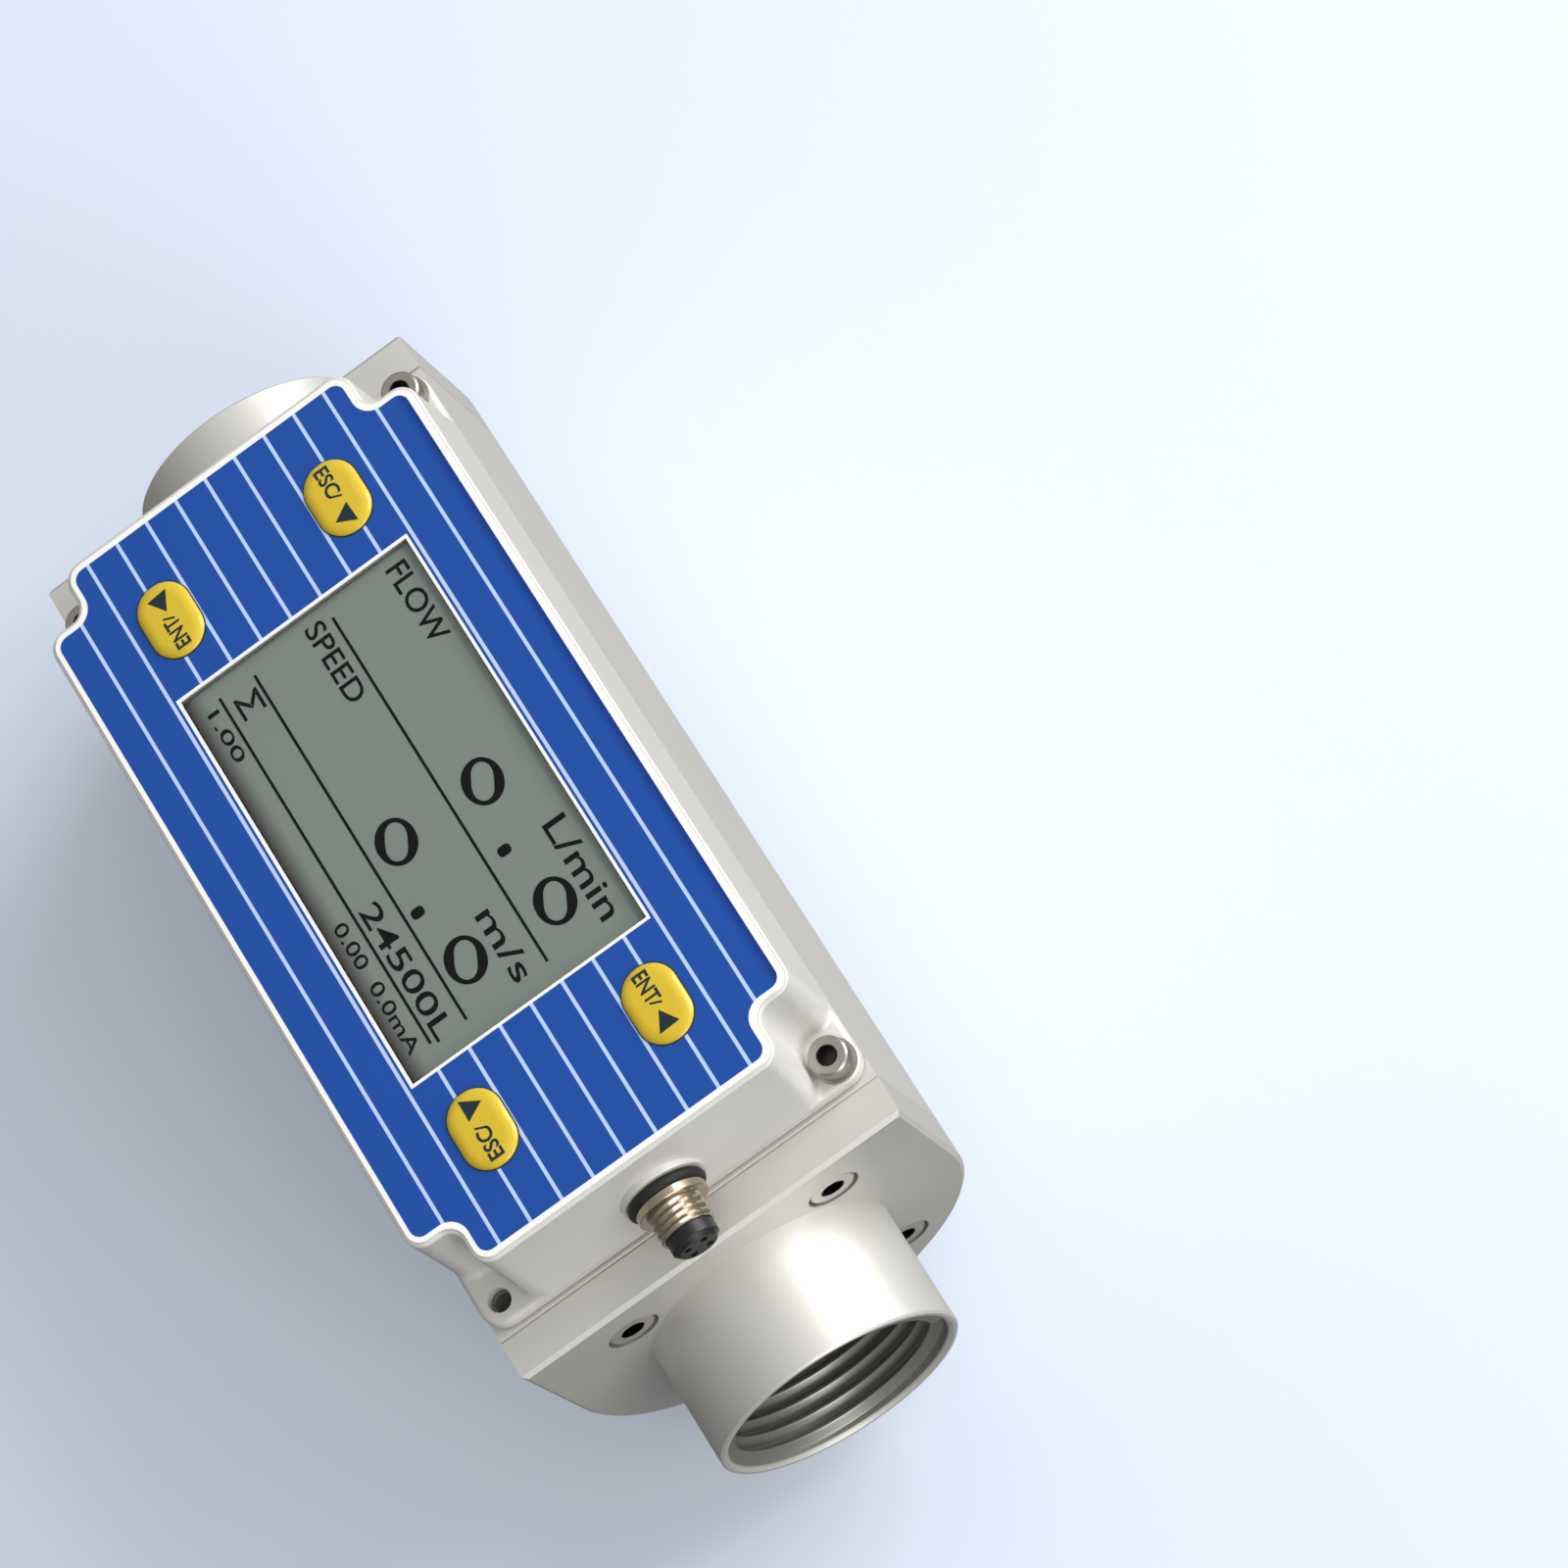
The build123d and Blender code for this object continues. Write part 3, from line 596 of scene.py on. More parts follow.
FINISHES = {
    "body_alloy": Finish("blasted_alloy", (216, 214, 208), Texture.BLASTED, 0.44, 0.4, 0.22 * MM,
                         0.006 * MM),
    "port_alloy": Finish("turned_alloy", (220, 218, 212), Texture.TURNED, 0.42, 0.5, 0.16 * MM, 0.004 * MM,
                         layers=(PORT_BORE_SHADE, COUNTERBORE_SHADE)),
    "flange_screw_steel": Finish("flange_screw_steel", (222, 219, 212), Texture.BLASTED, 0.32, 0.7,
                                 0.1 * MM, 0.002 * MM, layers=(FLANGE_SOCKET_SHADE,)),
    "cover_screw_steel": Finish("cover_screw_steel", (176, 171, 162), Texture.BLASTED, 0.36, 0.9,
                                0.1 * MM, 0.002 * MM, layers=(COVER_SOCKET_SHADE,)),
    "cover_alloy": Finish("painted_casting", (220, 218, 213), Texture.CAST, 0.42, 0.15, 0.5 * MM,
                          0.008 * MM, coat=0.15),
    "black_rubber": Finish("black_rubber", (18, 18, 18), Texture.MOULDED, 0.6, depth=0.005 * MM),
    "screw_steel": Finish("stainless_steel", (196, 190, 180), Texture.TURNED, 0.26, 0.95, 0.1 * MM,
                          0.003 * MM),
    "probe_plastic": Finish("probe_plastic", (214, 200, 172), Texture.MOULDED, 0.45),
    "chip_dark": Finish("sensor_chip", (34, 38, 44), Texture.MOULDED, 0.2, 0.3, coat=0.4),
    "label_white": Finish("label_film", (243, 243, 241), Texture.MOULDED, 0.34, depth=0.002 * MM,
                          tone_spread=0.02),
    "label_blue": Finish("blue_print", (24, 74, 158), Texture.MOULDED, 0.36, grain=0.3 * MM,
                         depth=0.002 * MM, tone_spread=0.05, specular=0.3, layers=(
                             # Painted shade: the blue turns darker towards the print's +Y edge
                             Shade((12, 50, 128), "Y", 27.0 * MM, 28.7 * MM),
                             Lines((186, 206, 244), 4.9 * MM, 0.5 * MM),
                         )),
    "window_clear": ClearPane("clear_pane", (120, 126, 124), Texture.MOULDED, 0.06, depth=0.0005 * MM,
                              tone_spread=0.0, roughness_spread=0.02),
    "display_grey": Finish("liquid_crystal", (162, 173, 165), Texture.MOULDED, 0.5, grain=0.25 * MM,
                           depth=0.001 * MM, tone_spread=0.03, specular=0.1,
                           # Painted shade: the crystal turns dark brown towards its -Y edge, where the
                           # window's recess shades it
                           layers=(Shade((84, 76, 76), "Y", -15.4 * MM, -18.9 * MM),)),
    "display_ink": Finish("display_segments", (8, 11, 9), Texture.MOULDED, 0.5, specular=0.05,
                          depth=0.001 * MM),
    "tray_white": Finish("tray_plastic", (226, 226, 222), Texture.MOULDED, 0.5),
    "board_green": Finish("solder_mask", (24, 92, 58), Texture.MOULDED, 0.35, coat=0.2),
    "insert_black": Finish("black_plastic", (22, 22, 24), Texture.MOULDED, 0.42, depth=0.006 * MM),
    "connector_nickel": Finish("nickel_plate", (186, 172, 152), Texture.TURNED, 0.24, 0.95, 0.12 * MM,
                               0.004 * MM),
    "contact_gold": Finish("gold_plate", (214, 176, 92), Texture.TURNED, 0.25, 0.95),
    "key_yellow": Finish("key_plastic", (212, 182, 40), Texture.MOULDED, 0.3, depth=0.001 * MM,
                         tone_spread=0.05, coat=0.25,
                         # Painted shade: the key turns dark olive at the foot of its dome, in the gap round
                         # it
                         layers=(Shade((44, 48, 28), "Z", LABEL_TOP + 0.22 * MM, LABEL_TOP + 0.1 * MM),)),
    "key_ink": Finish("key_print", (10, 38, 46), Texture.MOULDED, 0.4, depth=0.001 * MM),
    "thread_alloy": Finish("cut_thread", (150, 150, 143), Texture.TURNED, 0.34, 0.6, 0.14 * MM,
                           0.004 * MM),
}


class Workshop:
    """Makes materials once each, dresses nodes and adds new pieces to the frame."""

    def __init__(self) -> None:
        """Build the shared groups and look up what each node is made of."""
        self.effects = Effects()
        self.materials: dict[str, Material] = {}
        record = frame["record"]
        self.slots = {row["node"]: row["material_slot"] for row in record["subparts"]}
        self.bodies = {node: body for body, nodes in record["behaviour"]["bodies"].items() for node in nodes}

    def material(self, key: str) -> Material:
        """Give the material of a finish, built when it is first asked for.

        Args:
            key: The finish.

        Returns:
            Its material.
        """
        if key not in self.materials:
            self.materials[key] = FINISHES[key].build(self.effects)
        return self.materials[key]

    def dress(self, node: str, key: str = "") -> None:
        """Give a frame node its finish.

        Args:
            node: Name of the node.
            key: Finish, or nothing for the one of the node's own slot.
        """
        item = frame["nodes"][node]
        item.data.materials.clear()
        item.data.materials.append(self.material(key or self.slots[node]))

    def smooth(self, node: str, key: str = "", sharp: float = math.radians(28)) -> Object:
        """Stand a merged and smoothly shaded copy in a node's place.

        Args:
            node: Name of the node.
            key: Finish, or nothing for the one of the node's own slot.
            sharp: Angle between faces above which an edge stays sharp.

        Returns:
            The new piece.
        """
        mesh = bpy.data.meshes.new(f"{node}_shown")
        shape = bmesh.new()
        shape.from_mesh(frame["nodes"][node].data)
        bmesh.ops.remove_doubles(shape, verts=shape.verts, dist=0.001 * MM)
        shape.to_mesh(mesh)
        shape.free()
        settle_normals(mesh, sharp)
        slot = self.slots[node]
        piece = self.add(mesh, self.bodies[node], key or slot, slot, sharp=None)
        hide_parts(node)
        return piece

    def add(self, mesh: Mesh, body: str, key: str, slot: str,
            sharp: float | None = math.radians(40)) -> Object:
        """Add a new piece that moves with a body.

        Args:
            mesh: Its mesh, already in place.
            body: Body that it rides on.
            key: Its finish.
            slot: Material slot of the record; not used.
            sharp: Angle between faces above which an edge stays sharp, or None for settled shading.

        Returns:
            The new piece.
        """
        if sharp is not None:
            mesh.polygons.foreach_set("use_smooth", np.ones(len(mesh.polygons), bool))
            mesh.set_sharp_from_angle(angle=sharp)
        mesh.materials.clear()
        mesh.materials.append(self.material(key))
        piece = bpy.data.objects.new(mesh.name, mesh)
        bpy.context.scene.collection.objects.link(piece)
        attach(piece, body)
        LOG.info("%s: %d faces on %s", mesh.name, len(mesh.polygons), body)
        return piece


def read_places(mesh: Mesh) -> np.ndarray:
    """Read the places of a mesh's points.

    Args:
        mesh: The mesh.

    Returns:
        An array of three columns.
    """
    places = np.zeros(len(mesh.vertices) * 3)
    mesh.vertices.foreach_get("co", places)
    return places.reshape(-1, 3)


def unit(vectors: np.ndarray) -> np.ndarray:
    """Vectors of length one, along the last axis."""
    return vectors / np.maximum(np.linalg.norm(vectors, axis=-1, keepdims=True), SHORTEST)


def settle_normals(mesh: Mesh, sharp: float, play: float = 0.02 * MM, slope: float = 0.02,
                   agreement: float = 0.97) -> None:
    """Shade a triangle mesh as its maker's surfaces are: flat faces flat, fillets soft, turned walls round.

    A corner's normal is the sum of the normals of the faces round its vertex that lie within the sharp
    angle of its own face, each times its area and its angle there. A face is a turned wall where its normal
    is square to X and points from the flow axis at corners that share one distance from it, and there
    the corner's normal is the direction from the axis.

    Args:
        mesh: A merged mesh of triangles.
        sharp: Angle between faces above which an edge stays sharp.
        play: Greatest difference between the distances of a turned wall's corners.
        slope: Greatest share of X in a turned wall's normal.
        agreement: Least cosine between a turned wall's normal and the direction from the axis.
    """
    count = len(mesh.polygons)
    vertex = np.zeros(count * 3, int)
    mesh.loops.foreach_get("vertex_index", vertex)
    corners = read_places(mesh)[vertex].reshape(count, 3, 3)
    onward = unit(np.roll(corners, -1, axis=1) - corners)
    back = unit(np.roll(corners, 1, axis=1) - corners)
    angle = np.arccos(np.clip(np.sum(onward * back, axis=2), -1, 1))
    cross = np.cross(corners[:, 1] - corners[:, 0], corners[:, 2] - corners[:, 0])
    facing = np.repeat(unit(cross), 3, axis=0)
    weight = (angle * np.linalg.norm(cross, axis=1)[:, None]).ravel()
    order = np.argsort(vertex, kind="stable")
    _, first, valence = np.unique(vertex[order], return_index=True, return_counts=True)
    normals = facing.copy()
    for number in np.unique(valence):
        starts = first[valence == number]
        fans = order[starts[:, None] + np.arange(number)[None, :]]
        near = np.einsum("nac,nbc->nab", facing[fans], facing[fans]) > math.cos(sharp)
        normals[fans] = np.einsum("nab,nb,nbc->nac", near.astype(float), weight[fans], facing[fans])
    radial = (corners * np.array([0, 1, 1])).reshape(-1, 3)
    radius = np.linalg.norm(radial, axis=1)
    spread = np.repeat(np.ptp(radius.reshape(count, 3), axis=1), 3)
    outward = np.sum(unit(radial) * facing, axis=1)
    turned = (spread < play) & (np.abs(facing[:, 0]) < slope) & (np.abs(outward) > agreement)
    normals[turned] = (unit(radial) * np.sign(outward)[:, None])[turned]
    mesh.polygons.foreach_set("use_smooth", np.ones(count, bool))
    mesh.normals_split_custom_set(unit(normals).tolist())


def grid_mesh(name: str, points: np.ndarray, wrap_rows: bool, caps: bool = False) -> Mesh:
    """Mesh of a grid whose rows are closed loops.

    Args:
        name: Name of the mesh.
        points: Points as an array of rows, loop points and three axes.
        wrap_rows: Whether the last loop meets the first, as on a ring.
        caps: Whether the first and last loop are closed by a face.

    Returns:
        The mesh, with its faces turned outwards.
    """
    rows, columns = points.shape[:2]
    row, column = np.meshgrid(np.arange(rows if wrap_rows else rows - 1), np.arange(columns), indexing="ij")
    below, beside = (row + 1) % rows, (column + 1) % columns
    corners = [
        row * columns + column, row * columns + beside, below * columns + beside, below * columns + column,
    ]
    faces = np.stack(corners, axis=-1).reshape(-1, 4).tolist()
    if caps:
        faces.append(np.arange(columns)[::-1].tolist())
        faces.append(((rows - 1) * columns + np.arange(columns)).tolist())
    mesh = bpy.data.meshes.new(name)
    mesh.from_pydata(points.reshape(-1, 3).tolist(), [], faces)
    return cleaned(mesh)


def cleaned(mesh: Mesh, merge: float = 0.0) -> Mesh:
    """Merge a mesh's doubles and turn its faces outwards.

    Args:
        mesh: The mesh, which is changed.
        merge: Distance under which points merge, or zero to merge none.

    Returns:
        The same mesh.
    """
    shape = bmesh.new()
    shape.from_mesh(mesh)
    if merge:
        bmesh.ops.remove_doubles(shape, verts=shape.verts, dist=merge)
    bmesh.ops.recalc_face_normals(shape, faces=shape.faces)
    shape.to_mesh(mesh)
    shape.free()
    return mesh


def rounded_rectangle(half_x: float, half_y: float, radius: float, steps: int = 12) -> np.ndarray:
    """Closed outline of a rectangle with round corners.

    Each corner is a quarter circle: its centre plus radius times (cos a, sin a), a over 90 degrees.

    Args:
        half_x: Half of the length.
        half_y: Half of the width.
        radius: Corner radius.
        steps: Points on each corner.

    Returns:
        Points of the outline, anticlockwise, as an array of two columns.
    """
    angles = np.linspace(0, math.pi / 2, steps)[None, :] + np.arange(4)[:, None] * math.pi / 2
    signs = np.array([[1, 1], [-1, 1], [-1, -1], [1, -1]])
    centres = signs * np.array([half_x - radius, half_y - radius])
    arcs = centres[:, None, :] + radius * np.stack([np.cos(angles), np.sin(angles)], axis=-1)
    return arcs.reshape(-1, 2)


def notched_outline(half: Pair, notch: Pair, inner: float, outer: float,
                    steps: int = 10) -> np.ndarray:
    """Closed outline of a rectangle with a rounded notch at each corner.

    One quarter runs from the end to the side: a convex arc, a hollow arc in the notch and a convex arc.
    The other quarters are its mirror images, walked the same way round.

    Args:
        half: Half length and half width of the rectangle.
        notch: Place of the notch's inner corner from the middle.
        inner: Radius of the hollow arc.
        outer: Radius of the convex arcs.
        steps: Points on each arc.

    Returns:
        Points of the outline, anticlockwise, as an array of two columns.
    """
    angles = np.linspace(0, math.pi / 2, steps)
    convex = np.stack([np.cos(angles), np.sin(angles)], axis=-1)
    hollow = -np.stack([np.sin(angles), np.cos(angles)], axis=-1)
    end = np.array([half[0] - outer, notch[1] - outer]) + outer * convex
    deep = np.array([notch[0] + inner, notch[1] + inner]) + inner * hollow
    side = np.array([notch[0] - outer, half[1] - outer]) + outer * convex
    quarter = np.concatenate([end, deep, side])
    mirrored = quarter[::-1] * np.array([-1, 1])
    return np.concatenate([quarter, mirrored, -quarter, -mirrored])


def flat_shape(name: str, outlines: list[np.ndarray], level: float, thickness: float) -> Mesh:
    """Thin plate with holes, filled between closed outlines by a flat curve.

    Args:
        name: Name of the mesh.
        outlines: The outline of the plate and of each hole.
        level: Height of the plate's underside.
        thickness: Thickness of the plate.

    Returns:
        The mesh in place.
    """
    curve = bpy.data.curves.new(name, "CURVE")
    curve.dimensions = "2D"
    curve.fill_mode = "BOTH"
    curve.extrude = thickness / 2
    for outline in outlines:
        spline = curve.splines.new("POLY")
        spline.points.add(len(outline) - 1)
        homogeneous = np.column_stack([outline, np.zeros(len(outline)), np.ones(len(outline))])
        spline.points.foreach_set("co", homogeneous.ravel())
        spline.use_cyclic_u = True
    return curve_to_mesh(curve, name, np.array([0, 0, level + thickness / 2]))


def curve_to_mesh(curve: Curve, name: str, shift: np.ndarray) -> Mesh:
    """Turn a curve or text into a mesh and move its points.

    Args:
        curve: The curve or text data, which is removed.
        name: Name of the mesh.
        shift: Movement of every point.

    Returns:
        The mesh, merged and with faces turned outwards.
    """
    holder = bpy.data.objects.new(name, curve)
    bpy.context.scene.collection.objects.link(holder)
    bpy.context.view_layer.update()
    mesh = bpy.data.meshes.new_from_object(holder.evaluated_get(bpy.context.evaluated_depsgraph_get()))
    bpy.data.objects.remove(holder)
    bpy.data.curves.remove(curve)
    mesh.name = name
    mesh.vertices.foreach_set("co", (read_places(mesh) + shift).ravel())
    return cleaned(mesh, merge=0.0005 * MM)


def lettering(name: str, text: str, low: Pair, high: Pair, level: float,
              thickness: float, turn: float = 0.0, weight: float = 0.012) -> Mesh:
    """Raised letters that fill a box on a level plane.

    The text's own box is stretched to the box asked for, turned about the middle and set at its level.

    Args:
        name: Name of the mesh.
        text: The letters.
        low: Lowest corner of the box, read in the direction of the text.
        high: Highest corner of the box.
        level: Height of the letters' underside.
        thickness: Height of the letters.
        turn: Turn of the whole text about the box's middle, in radians.
        weight: How much bolder than the plain letters, as a share of their size.

    Returns:
        The mesh in place.
    """
    curve = bpy.data.curves.new(name, "FONT")
    curve.body = text
    curve.size = 1.0
    curve.offset = weight
    curve.extrude = 0.5
    curve.resolution_u = 4
    mesh = curve_to_mesh(curve, name, np.zeros(3))
    places = read_places(mesh)
    least, most = places.min(axis=0), places.max(axis=0)
    share = (places - least) / (most - least)
    flat = (share[:, :2] - 0.5) * (np.array(high) - np.array(low))
    middle = (np.array(low) + np.array(high)) / 2
    placed = np.column_stack([rotated(flat, turn) + middle, level + share[:, 2] * thickness])
    mesh.vertices.foreach_set("co", placed.ravel())
    return mesh


def joined(name: str, meshes: list[Mesh]) -> Mesh:
    """Gather several meshes into one.

    Args:
        name: Name of the new mesh.
        meshes: The meshes, which are removed.

    Returns:
        The new mesh.
    """
    shape = bmesh.new()
    for mesh in meshes:
        shape.from_mesh(mesh)
    whole = bpy.data.meshes.new(name)
    shape.to_mesh(whole)
    shape.free()
    for mesh in meshes:
        bpy.data.meshes.remove(mesh)
    return whole


def rotated(points: np.ndarray, angle: float) -> np.ndarray:
    """Turn flat points about the origin.

    Args:
        points: Array of two columns.
        angle: The turn, in radians.

    Returns:
        The turned points.
    """
    spin = np.array([[math.cos(angle), math.sin(angle)], [-math.sin(angle), math.cos(angle)]])
    return points @ spin


@dataclass
class Housing:
    """Flow body, its fittings, the cast cover and the screws that hold them."""

    smooth_nodes: tuple[str, ...] = (
        "flow_body", "inlet_fitting", "outlet_fitting", "cover", "inlet_fitting_screws",
        "outlet_fitting_screws", "cover_screws", "cover_washers", "inlet_fitting_seal",
        "outlet_fitting_seal", "cover_gasket",
    )
    screw_finishes: tuple[tuple[str, str], ...] = (
        ("inlet_fitting_screws", "flange_screw_steel"),
        ("outlet_fitting_screws", "flange_screw_steel"),
        ("cover_screws", "cover_screw_steel"),
        ("cover_washers", "cover_screw_steel"),
    )

    def build(self, shop: Workshop) -> None:
        """Stand smoothly shaded copies in the place of the housing's nodes.

        Args:
            shop: The workshop.
        """
        finishes = dict(self.screw_finishes)
        for node in self.smooth_nodes:
            shop.smooth(node, finishes.get(node, ""))


@dataclass
class PipeThread:
    """Female pipe thread cut in a port, as the ridge that stands on its bored wall.

    The section is a list of places along X and heights, as shares of the pitch and of the thread's depth.
    """

    node: str
    length: float
    mouth_side: int
    wall_radius: float = 16.62 * MM
    crest_radius: float = 15.15 * MM
    pitch: float = 25.4 / 11 * MM
    relief: float = 0.6 * MM
    least_height: float = 0.02
    steps_per_turn: int = 96
    section: tuple[Pair, ...] = (
        (-0.46, -0.02), (-0.36, 0.06), (-0.12, 0.9), (0.0, 1.0), (0.12, 0.9), (0.36, 0.06), (0.46, -0.02),
        (0.0, -0.06),
    )

    def build(self, shop: Workshop) -> None:
        """Carry the section round a helix: inward = pitch * a / 2 pi + along, radius = wall - height.

        The mouth's chamfer cuts the first turn off square, and the ridge sinks away over its last half turn.

        Args:
            shop: The workshop.
        """
        low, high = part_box(self.node)
        mouth = high.x if self.mouth_side > 0 else low.x
        cut_plane = mouth - self.mouth_side * self.relief
        turns = self.length / self.pitch - 0.5
        angle = np.linspace(0, turns * 2 * math.pi, int(turns * self.steps_per_turn))
        along, rise = np.array(self.section).T
        fade = np.clip((angle[-1] - angle) / math.pi, self.least_height, 1.0)
        depth = self.wall_radius - self.crest_radius
        height = np.where(rise > 0, rise[None, :] * fade[:, None], rise[None, :]) * depth
        radius = self.wall_radius - height
        inward = self.pitch * (angle[:, None] / (2 * math.pi) + along[None, :])
        x = cut_plane - self.mouth_side * np.maximum(inward, 0)
        y = radius * np.cos(angle)[:, None]
        z = radius * np.sin(angle)[:, None] * self.mouth_side
        points = np.stack([x, y, z], axis=-1)
        mesh = grid_mesh(f"{self.node}_thread", points, wrap_rows=False, caps=True)
        shop.add(mesh, METER, "thread_alloy", "port_alloy")


@dataclass
class FaceLabel:
    """White film with its blue lined print, open round the display and the keys."""

    half: Pair = (56.4 * MM, 28.7 * MM)
    notch: Pair = (49.6 * MM, 22.2 * MM)
    notch_radius: float = 3.0 * MM
    corner_radius: float = 1.6 * MM
    display_frame: float = 0.45 * MM
    window_corner: float = 0.1 * MM
    ink: float = 0.02 * MM
    key_gap: float = 0.12 * MM

    def build(self, shop: Workshop, caps: list["KeyCap"]) -> None:
        """Dress the film and lay the print on it.

        Args:
            shop: The workshop.
            caps: The keys, whose domes the print leaves open.
        """
        shop.dress("face_label", "label_white")
        low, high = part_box("face_label")
        middle = np.array([(low.x + high.x) / 2, 0])
        panel_low, panel_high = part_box("display_panel")
        window = (
            (panel_high.x - panel_low.x) / 2 + self.display_frame,
            (panel_high.y - panel_low.y) / 2 + self.display_frame,
        )
        outlines = [
            notched_outline(self.half, self.notch, self.notch_radius, self.corner_radius) + middle,
            rounded_rectangle(*window, self.window_corner, steps=3) + middle,
        ]
        outlines += [cap.opening(self.key_gap) for cap in caps]
        mesh = flat_shape("label_print", outlines, high.z, self.ink)
        shop.add(mesh, METER, "label_blue", "label_blue")


@dataclass
class Display:
    """Display window, the glass behind it and what it shows."""

    level_gap: float = 0.01 * MM
    ink: float = 0.03 * MM
    zero_half: Pair = (3.4 * MM, 2.9 * MM)
    stroke_thin: float = 0.6 * MM
    stroke_thick: float = 1.45 * MM
    stress: float = math.radians(55)
    zeros: tuple[Pair, ...] = ((2.5, 9.8), (22.1, 9.5), (2.3, -4.0), (21.5, -4.4))
    dots: tuple[Pair, ...] = ((12.2, 7.4), (12.2, -6.5))
    dot_half: Pair = (0.75 * MM, 0.95 * MM)
    dot_corner: float = 0.6 * MM
    divider_half: float = 0.2 * MM
    divider_corner: float = 0.05 * MM
    word_weight: float = 0.006
    dividers: tuple[Triple, ...] = (
        (-29.3, 28.3, 4.5), (-29.2, 28.3, -8.4), (-29.5, 28.1, -14.0),
    )
    words: tuple[tuple[str, float, float, float, float], ...] = (
        ("L/min", 12.6, 13.1, 28.4, 16.6),
        ("m/s", 17.4, -0.6, 28.4, 2.6),
        ("24500L", 7.2, -13.2, 28.6, -10.2),
        ("Σ", -27.9, -12.7, -24.5, -9.1),
        ("FLOW", -30.2, 13.6, -17.4, 16.8),
        ("SPEED", -30.2, 0.2, -17.4, 3.2),
        ("1.00", -28.4, -16.7, -20.2, -14.9),
        ("0.00  0.0mA", 7.0, -17.2, 27.9, -15.2),
    )

    def build(self, shop: Workshop) -> None:
        """Dress the window and the glass, and raise the display's dark segments on the glass.

        Args:
            shop: The workshop.
        """
        shop.dress("display_panel")
        shop.dress("display_window")
        low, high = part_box("display_panel")
        middle = np.array([(low.x + high.x) / 2, 0])
        level = high.z + self.level_gap
        outlines = []
        for place in self.zeros:
            outlines += self.zero(np.array(place) * MM + middle)
        for place in self.dots:
            dot = rounded_rectangle(*self.dot_half, self.dot_corner)
            outlines.append(dot + np.array(place) * MM + middle)
        for start, end, y in self.dividers:
            half = ((end - start) / 2 * MM, self.divider_half)
            centre = np.array([(start + end) / 2, y]) * MM + middle
            outlines.append(rounded_rectangle(*half, self.divider_corner, steps=3) + centre)
        plates = [flat_shape("segments", outlines, level, self.ink)]
        for text, x0, y0, x1, y1 in self.words:
            corners = (x0 * MM + middle[0], y0 * MM), (x1 * MM + middle[0], y1 * MM)
            plates.append(lettering("word", text, *corners, level, self.ink, weight=self.word_weight))
        shop.add(joined("display_segments", plates), METER, "display_ink", "display_grey")

    def zero(self, centre: np.ndarray) -> list[np.ndarray]:
        """Wide oval figure whose stroke swells at the stress angle.

        The inner outline is the outer one drawn in by thin + (thick - thin) * cos(a - stress) squared.

        Args:
            centre: Middle of the figure.

        Returns:
            Outer and inner outline.
        """
        angle = np.linspace(0, 2 * math.pi, 64, endpoint=False)
        swell = np.cos(angle - self.stress) ** 2
        stroke = self.stroke_thin + (self.stroke_thick - self.stroke_thin) * swell
        ring = np.column_stack([np.cos(angle), np.sin(angle)])
        outer = ring * np.array(self.zero_half)
        inner = ring * (np.array(self.zero_half) - stroke[:, None])
        return [outer + centre, inner + centre]


